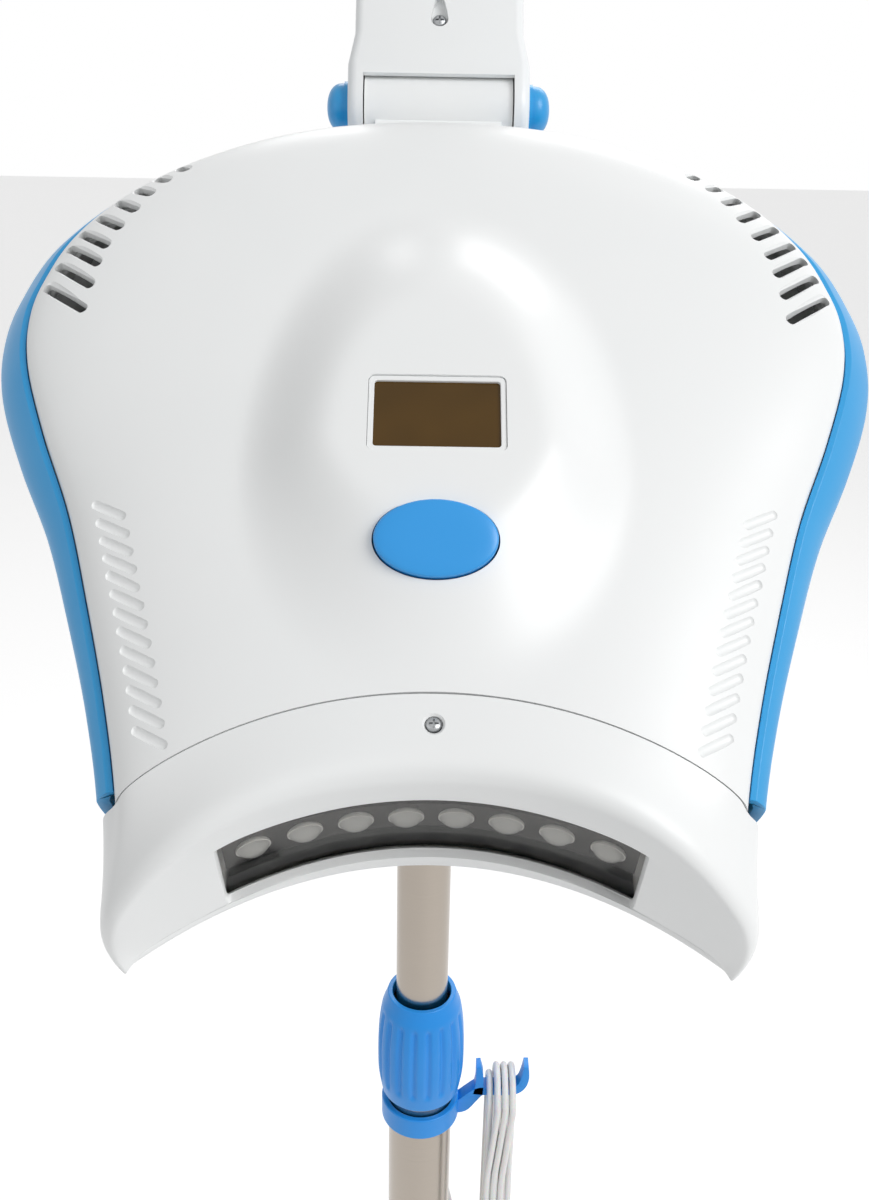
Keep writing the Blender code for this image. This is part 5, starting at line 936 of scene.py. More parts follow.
def swept(section, shares):
    """A section of (inset, height), a function of the share, lofted round the outline."""
    rings = []
    for share in shares:
        p, n = outline(share)
        rings.append([head_at(*(p - n * inset), h) for inset, h in section(share)])
    return ring_skin(rings, hollow=False)[0]


for sign, word in ((-1, "left"), (1, "right")):
    shares = [mix(BAND_START, BAND_END, k / BAND_STATIONS) * sign for k in range(BAND_STATIONS + 1)]
    band = place_mesh("trim_" + word, swept(band_section, shares), blue_abs, "head", "blue_plastic",
                      "trim_band_" + word)
    rounded(band, 0.5)


def skirt_section(rim_number):
    """The wall that hangs behind the band from the upper cover's rim (0) or the lower one's (1)."""
    def section(share):
        rim = rim_heights(share)[rim_number]
        turn_in = math.copysign(1.0, rim)
        lip = towards_nose(share, RIM_INSET, RIM_INSET_NOSE) + BAND_LIP + 2 * SEAM_GAP
        out = BAND_WALL + SEAM_GAP
        outer = [(lip, rim - turn_in * SEAM_GAP), (lip, rim - turn_in * WALL)]
        outer += [(bulge(share, part) + out, rim * part) for part in SKIRT_LEVELS] + [(out, turn_in * SEAM_GAP)]
        return outer + [(inset + SKIRT_WALL, h) for inset, h in reversed(outer)]
    return section


for rim_number, word in enumerate(("upper", "lower")):
    shares = [SKIRT_END * (2 * k / BAND_STATIONS - 1) for k in range(BAND_STATIONS + 1)]
    place_mesh(word + "_skirt", swept(skirt_section(rim_number), shares), white_abs, "head", "white_plastic")
print("the bands run from share", BAND_START, "to", BAND_END)

# %% [markdown]
# ## The nose
# The nose is one moulding that carries on from both covers. Its section is a closed ring
# that changes from the seam's shape to the outlet's wide shallow arch, then turns over a
# rounded edge into the curved face with the window. The cage has few rings, and two levels
# of subdivision round its tips, as on the real moulding, while creases hold the seam and
# the window's edge. One cross-head screw sits in a round recess in the nose and holds it to
# the cover.

# %% The nose cage
NOSE_HALF = 73.5 * MM
EDGE_REACH, EDGE_SWEEP = 126.0 * MM, 25.0 * MM
LOW_REACH, LOW_SWEEP = 131.0 * MM, 26.0 * MM
NOSE_RIM, NOSE_CROWN = -2.0 * MM, 25.0 * MM
NOSE_LOW_RIM, NOSE_LOW_CROWN = 27.5 * MM, -4.0 * MM
NOSE_EDGE = 4.5 * MM
NOSE_POWER = 4.5
NOSE_COLUMNS, NOSE_SIDES, NOSE_ROWS = 24, 6, 4
WINDOW_HALF = 46.5 * MM
WINDOW_TOP, WINDOW_BOTTOM = 11.5 * MM, -16.0 * MM
WINDOW_ARCH = 3.5 * MM


def nose_ring(q, gap=0.0):
    """Points (x, s, h) round the nose, q from 0 at the seam to 1 at the outlet."""
    end = rim_point(SEAM)
    top_rim, low_rim = rim_heights(SEAM)
    bulge_in = mix(RIM_INSET_NOSE + BAND_LIP + SEAM_GAP, RIM_INSET_NOSE, q)
    half = mix(end.x, NOSE_HALF - bulge_in, q)
    top, low = mix(top_rim, NOSE_RIM, q), mix(low_rim, -NOSE_LOW_RIM, q)
    top_rise = mix(TOP_HEIGHT_NOSE - top_rim, NOSE_CROWN, q)
    low_rise = mix(-LOW_DEPTH_NOSE - low_rim, -NOSE_LOW_CROWN, q)
    reach, sweep = mix(SEAM_REACH, EDGE_REACH - NOSE_EDGE, q) + gap, mix(end.y - SEAM_REACH, EDGE_SWEEP, q)
    low_reach, low_sweep = mix(SEAM_REACH, LOW_REACH - NOSE_EDGE, q) + gap, mix(end.y - SEAM_REACH, LOW_SWEEP, q)

    def arch(reach, sweep, base, rise, k):
        u = spread(k, NOSE_COLUMNS)
        shape = mix(crown(u), 1 - abs(u) ** NOSE_POWER, q)
        return Vector((u * half, reach + sweep * u * u, base + rise * shape))

    ring = [arch(reach, sweep, top, top_rise, k) for k in range(NOSE_COLUMNS + 1)]
    bottom = [arch(low_reach, low_sweep, low, low_rise, k) for k in range(NOSE_COLUMNS, -1, -1)]
    side = []
    for k in range(1, NOSE_SIDES):
        part = k / NOSE_SIDES
        p = ring[-1].lerp(bottom[0], part)
        side.append(p + Vector((bulge_in * (1 - (2 * part - 1) ** 2), 0, 0)))
    return ring + side + bottom + [Vector((-p.x, p.y, p.z)) for p in reversed(side)]


def inset_ring(ring, inward, forward):
    moved = []
    for k, p in enumerate(ring):
        a, b = ring[k - 1], ring[(k + 1) % len(ring)]
        along = Vector((b.x - a.x, b.z - a.z)).normalized()
        moved.append(Vector((p.x + along.y * inward, p.y + forward, p.z - along.x * inward)))
    return moved


def face_reach(x, h):
    """How far the outlet's curved face lies in front of the widest line."""
    bow = (x / NOSE_HALF) ** 2
    share = (h + LOW_DEPTH_NOSE) / (TOP_HEIGHT_NOSE + LOW_DEPTH_NOSE)
    return mix(LOW_REACH + LOW_SWEEP * bow, EDGE_REACH + EDGE_SWEEP * bow, share)


def window_levels(x, margin=0.0):
    drop = WINDOW_ARCH * (x / WINDOW_HALF) ** 2
    return WINDOW_BOTTOM - drop - margin, WINDOW_TOP - drop + margin


def window_ring(behind=0.0):
    columns = [spread(k, NOSE_COLUMNS) * WINDOW_HALF for k in range(NOSE_COLUMNS + 1)]
    ring = [(x, window_levels(x)[1]) for x in columns]
    low, top = window_levels(WINDOW_HALF)
    side = [mix(top, low, k / NOSE_SIDES) for k in range(1, NOSE_SIDES)]
    ring += [(WINDOW_HALF, h) for h in side] + [(x, window_levels(x)[0]) for x in reversed(columns)]
    ring += [(-WINDOW_HALF, h) for h in reversed(side)]
    return [Vector((x, face_reach(x, h) - behind, h)) for x, h in ring]


print("the nose's section has", len(nose_ring(0.0)), "points")

# %% The nose
NOSE_TURN = [35.0, 70.0]
SEAM_CREASE = 1.0
WINDOW_CREASE = 0.75

outer_rings = [nose_ring(0.0, SEAM_GAP)] + [nose_ring(k / NOSE_ROWS) for k in range(1, NOSE_ROWS + 1)]
inner_rings = [inset_ring(ring, WALL, 0.0) for ring in outer_rings]
edge_ring = outer_rings[-1]
for degrees in NOSE_TURN:
    a = math.radians(degrees)
    inward, forward = NOSE_EDGE * (1 - math.cos(a)), NOSE_EDGE * math.sin(a)
    outer_rings.append(inset_ring(edge_ring, inward, forward))
    inner_rings.append(inset_ring(edge_ring, inward + WALL * math.cos(a), forward - WALL * math.sin(a)))
rim = inset_ring(edge_ring, NOSE_EDGE, 0.0)
outer_rings.append([Vector((p.x, face_reach(p.x, p.z), p.z)) for p in rim])
inner_rings.append([Vector((p.x, face_reach(p.x, p.z) - WALL, p.z)) for p in rim])
face_ring, window = outer_rings[-1], window_ring()
outer_rings.append([a.lerp(b, 0.5) for a, b in zip(face_ring, window)])
for p in outer_rings[-1]:
    p.y = face_reach(p.x, p.z)
inner_rings.append([p - Vector((0, WALL, 0)) for p in outer_rings[-1]])
outer_rings.append(window)
inner_rings.append(window_ring(WALL))
nose_rings = [[head_at(*p) for p in ring] for ring in outer_rings + list(reversed(inner_rings))]
nose_bm, nose_rows = ring_skin(nose_rings, hollow=True)
crease = nose_bm.edges.layers.float.new("crease_edge")
window_number = len(outer_rings) - 1
for row, hold in ((nose_rows[0], SEAM_CREASE), (nose_rows[-1], SEAM_CREASE),
                  (nose_rows[window_number], WINDOW_CREASE), (nose_rows[window_number + 1], WINDOW_CREASE)):
    for a, b in zip(row, row[1:] + row[:1]):
        nose_bm.edges.get((a, b))[crease] = hold
print("the nose cage has", len(nose_bm.faces), "faces")

# %% Helpers that smooth a cage, turn a profile and find a skin
TURN_STEPS = 64
ABOVE = 100.0 * MM


def subdivided(bm, levels):
    """The smooth mesh that a cage with creases stands for."""
    cage = scratch_object("cage", bm)
    finer = cage.modifiers.new("rounder", "SUBSURF")
    finer.levels = finer.render_levels = levels
    result = bmesh.new()
    result.from_mesh(cage.evaluated_get(bpy.context.evaluated_depsgraph_get()).to_mesh())
    mesh = cage.data
    bpy.data.objects.remove(cage)
    bpy.data.meshes.remove(mesh)
    return result


def turned(profile, place=Matrix(), steps=TURN_STEPS):
    """A profile of (radius, height) points, closed or from axis to axis, spun about Z and placed."""
    bm = bmesh.new()
    verts = [bm.verts.new((r, 0, h)) for r, h in profile]
    for pair in zip(verts, verts[1:]):
        bm.edges.new(pair)
    if profile[0][0] and profile[-1][0]:
        bm.edges.new((verts[-1], verts[0]))
    bmesh.ops.spin(bm, geom=list(bm.verts) + list(bm.edges), cent=(0, 0, 0), axis=(0, 0, 1), angle=math.tau,
                   steps=steps, use_merge=True)
    bmesh.ops.remove_doubles(bm, verts=bm.verts, dist=MERGE)
    bmesh.ops.recalc_face_normals(bm, faces=bm.faces)
    bmesh.ops.transform(bm, matrix=place, verts=bm.verts)
    return bm


def skin_under(bm, place):
    """A matrix where a line along the cover's normal meets the skin, Z along the skin's normal."""
    hit, normal, _, _ = BVHTree.FromBMesh(bm).ray_cast(place + OFF * ABOVE, -OFF)
    return stood_on(hit, normal, -DOWN)


print("a profile is turned in", TURN_STEPS, "steps where nothing else is asked")

# %% The nose with its screw recess
SCREW_PLACE = 114.5 * MM
SCREW_RADIUS = 2.0 * MM
SCREW_SINK = 1.6 * MM
SCREW_LIP = 0.5 * MM

nose_skin = subdivided(nose_bm, 2)
screw_frame = skin_under(nose_skin, head_at(0, SCREW_PLACE, 0))
recess = turned([(0, -SCREW_SINK), (SCREW_RADIUS, -SCREW_SINK), (SCREW_RADIUS, -SCREW_LIP),
                 (SCREW_RADIUS + 2 * SCREW_LIP, SCREW_LIP), (0, SCREW_LIP)], screw_frame)
nose = place_mesh("nose", cut(nose_skin, recess), white_abs, "head", "white_plastic", "nose_shroud")
print("the nose has", len(nose.data.polygons), "faces")

# %% The screw in the nose
SCREW_DOME = 0.55
SCREW_FIT = 0.85
CROSS_HEIGHT = 0.45
CROSS_SIZE = (1.25, 0.26, 0.7)


def cross_screw(name, place, radius, body, slot):
    """A pan-head screw with a cross recess, its head's foot at the place."""
    dome = [(radius * math.cos(a), radius * SCREW_DOME * math.sin(a)) for a in (math.pi / 24 * k for k in range(13))]
    dome[-1] = (0.0, radius * SCREW_DOME)
    bm = turned([(0.0, -radius / 2), (radius, -radius / 2)] + dome)
    blades = []
    for turn in (0.0, math.pi / 2):
        blade = bmesh.new()
        bmesh.ops.create_cube(blade, size=1.0, matrix=Matrix.Rotation(turn, 4, "Z") @ Matrix.Translation(
            (0, 0, radius * CROSS_HEIGHT)) @ Matrix.Diagonal((*(radius * side for side in CROSS_SIZE), 1)))
        blades.append(blade)
    bm = cut(bm, *blades)
    bmesh.ops.transform(bm, matrix=place, verts=bm.verts)
    return place_mesh(name, bm, bolt_steel, body, slot, sharp=math.radians(40))


screw_seat = screw_frame @ Matrix.Translation((0, 0, SCREW_RADIUS / 2 - SCREW_SINK))
cross_screw("nose_screw", screw_seat, SCREW_RADIUS * SCREW_FIT, "head", "steel")
print("the screw's head is", round(2 * SCREW_FIT * SCREW_RADIUS / MM, 1), "mm wide")

# %% [markdown]
# ## Inside the outlet
# Behind the window sits a row of lamps in a black tray. Each lamp has a white cup with a
# clear moulded dome over it, and the tray's glossy lower shelf mirrors the domes. The
# window itself is one clear pane that follows the outlet's curve. Plates that follow the
# curve are one grid, bent onto the face and given a thickness.

# %% Curved plates
PANE_LAP = 3.0 * MM
PANE_EDGE = 1.05 * MM
PANE_GAP = 0.8 * MM
PANE_WALL = 1.5 * MM
LAMPS = 8
LAMP_PITCH = 11.7 * MM
LAMP_RADIUS = 4.5 * MM
BAR_HEIGHT, BAR_HALF = -12.5 * MM, 6.0 * MM
BAR_WIDE = 47.5 * MM
BAR_WALL = 1.5 * MM
BOARD_WALL = 1.6 * MM
STAND_OFF = 4.3 * MM
PLATE_COLUMNS, PLATE_ROWS = 96, 6


def curved_plate(half_width, levels, behind, thickness):
    """A plate that follows the outlet's face, levels(x) giving its lower and upper edge."""
    bm = bmesh.new()
    bmesh.ops.create_grid(bm, x_segments=PLATE_COLUMNS, y_segments=PLATE_ROWS, size=1.0)
    made = bmesh.ops.extrude_face_region(bm, geom=list(bm.faces), use_keep_orig=True)
    back = {item for item in made["geom"] if isinstance(item, bmesh.types.BMVert)}
    for v in bm.verts:
        x = v.co.x * half_width
        low, top = levels(x)
        h = mix(low, top, (v.co.y + 1) / 2)
        v.co = head_at(x, face_reach(x, h) - behind - (thickness if v in back else 0.0), h)
    bmesh.ops.recalc_face_normals(bm, faces=bm.faces)
    return bm


def bar_levels(x):
    return BAR_HEIGHT - BAR_HALF, BAR_HEIGHT + BAR_HALF


pane_behind = WALL + PANE_GAP
pane = curved_plate(WINDOW_HALF + PANE_LAP, lambda x: window_levels(x, PANE_EDGE), pane_behind, PANE_WALL)
place_mesh("window_pane", pane, clear_pane, "head", "clear_pane", "outlet_window")
bar_behind = pane_behind + PANE_WALL + STAND_OFF
bar = curved_plate(BAR_WIDE, bar_levels, bar_behind, BAR_WALL)
place_mesh("lamp_carrier", bar, black_nylon, "head", "black_plastic")
board_behind = bar_behind + BAR_WALL + SEAM_GAP
board = curved_plate(BAR_WIDE, bar_levels, board_behind, BOARD_WALL)
place_mesh("lamp_board", board, board_green, "head", "circuit_board", "led_board")
print("the pane is", round(2 * (WINDOW_HALF + PANE_LAP) / MM), "mm wide")

# %% Lamps in their tray
CUP_RADIUS, CUP_HEIGHT = 4.2 * MM, 1.0 * MM
TRAY_WALL = 0.8 * MM
DOME_SINK, DOME_SQUASH = 0.3, 0.85
FACE_STEP = 0.5 * MM


def face_frame(x, h, behind):
    """A matrix on the outlet's curve at x, Z out of the window."""
    slope = (face_reach(x + FACE_STEP, h) - face_reach(x - FACE_STEP, h)) / (2 * FACE_STEP)
    out = DOWN - Vector((slope, 0, 0))
    return stood_on(head_at(x, face_reach(x, h) - behind, h), out, OFF)


domes, cups = bmesh.new(), bmesh.new()
for k in range(LAMPS):
    place = face_frame((k - (LAMPS - 1) / 2) * LAMP_PITCH, BAR_HEIGHT, bar_behind)
    bmesh.ops.create_uvsphere(domes, u_segments=40, v_segments=24, radius=LAMP_RADIUS,
                              matrix=place @ Matrix.Translation((0, 0, -LAMP_RADIUS * DOME_SINK)) @ Matrix.Diagonal(
                                  (1, 1, DOME_SQUASH, 1)))
    bmesh.ops.create_cone(cups, cap_ends=True, segments=40, radius1=CUP_RADIUS, radius2=CUP_RADIUS, depth=CUP_HEIGHT,
                          matrix=place)
place_mesh("lamp_domes", domes, clear_lens, "head", "clear_lens", "lens_bar")
place_mesh("lamp_cups", cups, white_abs, "head", "white_plastic")
window_low, window_top = window_levels(0.0)


def tray_levels(base, low, high):
    """Levels that follow the window's arch, from base + low to base + high."""
    return lambda x: [base + part + window_levels(x)[1] - window_top for part in (low, high)]


tray_depth = STAND_OFF + BAR_WALL
for name, levels in (("tray_shelf", tray_levels(window_low - PANE_EDGE, -TRAY_WALL, 0.0)),
                     ("tray_roof", tray_levels(window_top + PANE_EDGE, 0.0, TRAY_WALL))):
    tray = curved_plate(BAR_WIDE, levels, pane_behind + PANE_WALL, tray_depth)
    place_mesh(name, tray, gloss_black, "head", "black_plastic")
print(LAMPS, "lamps stand", round(LAMP_PITCH / MM, 1), "mm apart")

# %% [markdown]
# ## Display and button
# The display is a smoked amber pane sunk in a thin pale frame. The oval button is a cushion
# with a soft edge, a hair smaller than its hole. A flange below the cover keeps it in.

# %% The display
FRAME_DROP = 0.5 * MM
PANE_DROP = 1.2 * MM


def ring_plate(outer, inner, place, top, bottom):
    """A closed plate with an opening: four rings joined round."""
    rings = [placed(outer, place, top), placed(inner, place, top), placed(inner, place, bottom),
             placed(outer, place, bottom)]
    return ring_skin(rings, hollow=True)[0]


slack = SEAM_GAP / 2
outer_frame = round_rectangle(DISPLAY_WIDTH - slack, DISPLAY_LENGTH - slack, DISPLAY_CORNER)
inner_frame = round_rectangle(DISPLAY_WIDTH - 2 * FRAME_WIDTH, DISPLAY_LENGTH - 2 * FRAME_WIDTH, DISPLAY_CORNER / 2)
bezel = ring_plate(outer_frame, inner_frame, display_frame, -FRAME_DROP, -PANE_DROP - PANE)
rounded(place_mesh("display_bezel", bezel, white_abs, "head", "white_plastic"), 0.25)
glass_ring = round_rectangle(DISPLAY_WIDTH - FRAME_WIDTH, DISPLAY_LENGTH - FRAME_WIDTH, DISPLAY_CORNER)
glass = through(glass_ring, display_frame, -PANE_DROP - PANE, -PANE_DROP)
place_mesh("display_glass", glass, amber_acrylic, "head", "amber_pane", "display_window")
print("the bezel lies", FRAME_DROP / MM, "mm below the cover")

# %% The button
BUTTON_SKIRT = 6.8 * MM
BUTTON_FLANGE = 1.2 * MM
DOME_STEPS = 14
EDGE_FALL, EDGE_POWER, TOP_FALL = 0.55, 1.6, 0.02
DOME_FOOT = 0.1
button_body = joints["button_press"]["child"]

rings = [placed(oval_ring(BUTTON_WIDE + BUTTON_FLANGE, BUTTON_LONG + BUTTON_FLANGE), button_frame, h)
         for h in (-BUTTON_SKIRT - BUTTON_FLANGE, -BUTTON_SKIRT)]
rings.append(placed(oval_ring(BUTTON_WIDE, BUTTON_LONG), button_frame, -BUTTON_SKIRT))
for k in range(DOME_STEPS + 1):
    a = math.pi / 2 * k / DOME_STEPS
    edge = 1 - EDGE_FALL * (1 - math.cos(a)) ** EDGE_POWER - TOP_FALL * k / DOME_STEPS
    rings.append(placed(oval_ring(BUTTON_WIDE * edge, BUTTON_LONG * edge), button_frame,
                        BUTTON_DOME * mix(DOME_FOOT, 1.0, math.sin(a))))
place_mesh("press_button_cap", ring_skin(rings, hollow=False)[0], button_blue, button_body, "blue_plastic", "button",
           sharp=math.radians(50))
print("the button is", round(2 * BUTTON_WIDE / MM, 1), "by", round(2 * BUTTON_LONG / MM, 1), "mm")

# %% [markdown]
# ## The folding arm
# Both links are moulded beams with round ends about their hinges and well-softened long
# edges. A ring of points is extruded across, its rims are bevelled while the mesh is still
# simple, and the fork slots, the bolt holes and the screw's recess are cut afterwards. The
# slot under the head follows the hinge barrel round, so only a narrow seam shows there. The
# cheeks of the upper link draw in a little between its ends.

# %% Sizes and axes of the arm
ARM_DEPTH = 24.0 * MM
ARM_EDGE = 3.0 * MM
ARM_EDGE_STEPS = 6
KNUCKLE_WIDTH = 44.6 * MM
CHEEK = 4.7 * MM
HINGE_PLAY = 0.4 * MM
FORK_WIDTH = KNUCKLE_WIDTH + 2 * (CHEEK + HINGE_PLAY)
FORK_DEPTH = 18.0 * MM
ELBOW_CHANNEL_SHARE = 0.434
CHANNEL_WEB = 3.0 * MM
BOLT_RADIUS = 4.0 * MM
COVER_DEPTH, COVER_MARGIN = 2.5 * MM, 7.0 * MM
BARREL_RADIUS, BARREL_POCKET = 10.4 * MM, 11.3 * MM
POCKET_LIP = 5.0 * MM
FAR = 60.0 * MM

shoulder, elbow, tilt = [Vector(joints[name]["pos_m"]) for name in ("shoulder_tilt", "elbow_tilt", "head_tilt")]
lower_length, fore_length = (elbow - shoulder).length, (tilt - elbow).length
lower_frame = stood_on(shoulder, elbow - shoulder, Vector((0, 1, 0)))
fore_frame = stood_on(elbow, tilt - elbow, Vector((0, -1, 0)))
print("the links are", round(lower_length / MM, 1), "and", round(fore_length / MM, 1), "mm long")

# %% Helpers for beams and their cutters


def box(low, high):
    """A block between two corners."""
    low, high = Vector(low), Vector(high)
    bm = bmesh.new()
    bmesh.ops.create_cube(bm, size=1.0, matrix=Matrix.Translation((low + high) / 2) @ Matrix.Diagonal(
        (*(high - low), 1)))
    return bm


def rod_across(radius, z, half_span, y=0.0, steps=64):
    """A cylinder along X at height z."""
    bm = bmesh.new()
    bmesh.ops.create_cone(bm, cap_ends=True, segments=steps, radius1=radius, radius2=radius, depth=2 * half_span,
                          matrix=Matrix.Translation((0, y, z)) @ Matrix.Rotation(math.pi / 2, 4, "Y"))
    return bm


def beam(width, length, steps=28):
    """A beam along Z with round ends about both hinges and softened rims."""
    r = ARM_DEPTH / 2
    ring = [(-width / 2, y, z + length / 2) for y, z in slot_ring(ARM_DEPTH, length + 2 * r, steps)]
    bm = prism(bmesh.new(), ring, (width, 0, 0))
    rims = [e for e in bm.edges if abs(e.verts[0].co.x - e.verts[1].co.x) < MERGE]
    bmesh.ops.recalc_face_normals(bm, faces=bm.faces)
    bmesh.ops.bevel(bm, geom=rims, offset=ARM_EDGE, segments=ARM_EDGE_STEPS, profile=0.5, affect="EDGES", material=-1,
                    clamp_overlap=True)
    return bm


def recess_for_cover(width, start, end, side):
    """The cutter for a cover's seat in the face on one side."""
    half, outer = width / 2 - COVER_MARGIN, side * ARM_DEPTH / 2
    return box((-half, min(outer - side * COVER_DEPTH, outer + side * FAR), start),
               (half, max(outer - side * COVER_DEPTH, outer + side * FAR), end))


def arm_cover_plate(name, node, place, width, start, end, side, body):
    """A thin plain cover let into one face, with soft edges."""
    half, outer = width / 2 - COVER_MARGIN, side * ARM_DEPTH / 2
    play = SEAM_GAP / 2
    bm = box((-half + play, min(outer, outer - side * COVER_DEPTH), start + play),
             (half - play, max(outer, outer - side * COVER_DEPTH), end - play))
    bmesh.ops.transform(bm, matrix=place, verts=bm.verts)
    return rounded(place_mesh(name, bm, white_abs, body, "white_plastic", node), 0.6, segments=4)


print("a beam has", len(beam(FORK_WIDTH, fore_length).faces), "faces")

# %% The upper link, under the head's hinge
TEAR_RADIUS = 2.6 * MM
TEAR_TAIL = 3.2
TEAR_PINCH = 0.35
TEAR_DEPTH = 3.0 * MM
TEAR_PLACE = 23.0 * MM
TEAR_SCREW_FIT = 0.8
WAIST = 0.93
WAIST_START, WAIST_EASE, WAIST_END = 22.0 * MM, 10.0 * MM, 9.0 * MM
FORE_COVER = (0.488, 0.815)

inner = KNUCKLE_WIDTH / 2 + HINGE_PLAY
tear = [(x * (1 - TEAR_PINCH * max(y, 0) / TEAR_RADIUS), y * (TEAR_TAIL if y > 0 else 1.0))
        for x, y in oval_ring(TEAR_RADIUS, TEAR_RADIUS, 48)]
tear_place = Matrix.Translation((0, ARM_DEPTH / 2 - TEAR_DEPTH, fore_length - TEAR_PLACE))
tear_cutter = prism(bmesh.new(), [tear_place @ Vector((x, 0, -z)) for x, z in tear], (0, FAR, 0))
fore_beam = beam(FORK_WIDTH, fore_length)
waist_low, waist_high = WAIST_START + WAIST_EASE, fore_length - WAIST_END - WAIST_EASE
for z in (WAIST_START, waist_low, waist_high, fore_length - WAIST_END):
    bmesh.ops.bisect_plane(fore_beam, geom=list(fore_beam.verts) + list(fore_beam.edges) + list(fore_beam.faces),
                           plane_co=(0, 0, z), plane_no=(0, 0, 1))
for v in fore_beam.verts:
    if waist_low - MERGE < v.co.z < waist_high + MERGE:
        v.co.x *= WAIST
fore = cut(fore_beam,
           box((-inner, -FAR, -FAR), (inner, FAR, FORK_DEPTH)),
           box((-inner, -FAR, 0), (inner, ARM_DEPTH / 2 - CHANNEL_WEB, fore_length * ELBOW_CHANNEL_SHARE)),
           box((-inner, -FAR, fore_length - POCKET_LIP), (inner, FAR, fore_length + FAR)),
           rod_across(BARREL_POCKET, fore_length, inner),
           rod_across(BOLT_RADIUS, 0.0, FAR), rod_across(BOLT_RADIUS, fore_length, FAR), tear_cutter,
           recess_for_cover(FORK_WIDTH, fore_length * FORE_COVER[0], fore_length * FORE_COVER[1], -1))
bmesh.ops.transform(fore, matrix=fore_frame, verts=fore.verts)
fore_body = body_of_node["fore_arm"]
rounded(place_mesh("fore_arm_shell", fore, white_abs, fore_body, "white_plastic", "fore_arm"), 0.5,
        angle=math.radians(50))
arm_cover_plate("fore_arm_plate", "fore_arm_cover", fore_frame, FORK_WIDTH, fore_length * FORE_COVER[0],
                fore_length * FORE_COVER[1], -1, fore_body)
screw_seat = fore_frame @ tear_place @ Matrix.Rotation(-math.pi / 2, 4, "X") @ Matrix.Translation(
    (0, 0, TEAR_RADIUS / 2))
cross_screw("fore_arm_screw", screw_seat, TEAR_RADIUS * TEAR_SCREW_FIT, fore_body, "steel")
print("the seam under the hinge is", round((BARREL_POCKET - BARREL_RADIUS) / MM, 1), "mm wide")

# %% The lower link
lower_margin = FORK_DEPTH + ARM_DEPTH / 2
lower_link = cut(beam(KNUCKLE_WIDTH, lower_length), rod_across(BOLT_RADIUS, 0.0, FAR),
                 rod_across(BOLT_RADIUS, lower_length, FAR),
                 recess_for_cover(KNUCKLE_WIDTH, lower_margin, lower_length - lower_margin, 1))
bmesh.ops.transform(lower_link, matrix=lower_frame, verts=lower_link.verts)
lower_body = body_of_node["lower_arm"]
rounded(place_mesh("lower_arm_shell", lower_link, white_abs, lower_body, "white_plastic", "lower_arm"), 0.5,
        angle=math.radians(50))
arm_cover_plate("lower_arm_plate", "lower_arm_cover", lower_frame, KNUCKLE_WIDTH, lower_margin,
                lower_length - lower_margin, 1, lower_body)
print("the lower link is dressed")

# %% [markdown]
# ## Hinge caps and bolts
# Each hinge bolt ends in a blue domed cap that is pressed over it. The cap is turned: a
# short flange, a thin step, and one full dome. The swivel fork, the bolts and the head's
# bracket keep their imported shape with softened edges.

# %% Hinge caps
CAP_RADIUS, CAP_THICKNESS = 7.6 * MM, 6.5 * MM
CAP_SOCKET = 3.0 * MM
CAP_STEP = 0.5 * MM
CAP_SKIRT = 1.6 * MM
CAP_POWER = 2.3
CAP_CURVE = 14
cap_bore = BOLT_RADIUS + SEAM_GAP / 2


def cap_profile():
    """Half a cap from its socket round the flange and over the dome."""
    profile = [(0, CAP_SOCKET), (cap_bore, CAP_SOCKET), (cap_bore, 0), (CAP_RADIUS, 0),
               (CAP_RADIUS, CAP_SKIRT - CAP_STEP), (CAP_RADIUS - CAP_STEP, CAP_SKIRT - CAP_STEP),
               (CAP_RADIUS - CAP_STEP, CAP_SKIRT)]
    for k in range(1, CAP_CURVE):
        a = math.pi / 2 * k / CAP_CURVE
        profile.append(((CAP_RADIUS - CAP_STEP) * math.cos(a) ** (2 / CAP_POWER),
                        CAP_SKIRT + (CAP_THICKNESS - CAP_SKIRT) * math.sin(a) ** (2 / CAP_POWER)))
    return profile + [(0, CAP_THICKNESS)]


cap_shift = FORK_WIDTH / 2 + SEAM_GAP / 3
for joint_name, place in (("shoulder", shoulder), ("elbow", elbow), ("tilt", tilt)):
    for side, word in ((-1, "left"), (1, "right")):
        node = f"{joint_name}_cap_{word}"
        stand = stood_on(place + Vector((side * cap_shift, 0, 0)), Vector((side, 0, 0)), Vector((0, 0, 1)))
        place_mesh(node + "_dome", turned(cap_profile(), stand, steps=72), blue_abs, body_of_node[node],
                   "blue_plastic", node, sharp=math.radians(40))
print("six caps,", round(2 * CAP_RADIUS / MM, 1), "mm across")

# %% Bolts, the swivel and the head's bracket
for node in ("shoulder_bolt", "elbow_bolt", "tilt_bolt", "swivel_spigot"):
    dressed(node, bolt_steel, 0.4)
dressed("swivel_fork", white_abs, 1.6, segments=4)
dressed("head_bracket", white_abs, 0.7, segments=4)
print("the arm is dressed")

# %% [markdown]
# ## The column
# Two drawn steel tubes slide in each other. Each is a turned profile with a small chamfer at
# its cut ends, where the saw's burr was removed. A black guide plug runs inside the outer
# tube, and a split black collet sits on its top, under the collar.

# %% Tubes, guide and collet
TUBE_STEPS = 96
END_CHAMFER = 0.3 * MM


def tube_between(node, low, high, radius, wall, material):
    """A turned tube that replaces its node, with chamfered rims."""
    c = END_CHAMFER
    profile = [(radius - wall, low), (radius - c, low), (radius, low + c), (radius, high - c), (radius - c, high),
               (radius - wall, high)]
    return place_mesh(node + "_drawn", turned(profile, steps=TUBE_STEPS), material, body_of_node[node],
                      slot_of_node[node], node, sharp=math.radians(25))


def heights(node):
    """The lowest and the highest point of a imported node."""
    levels = [v.co.z for v in frame["nodes"][node].data.vertices]
    return min(levels), max(levels)


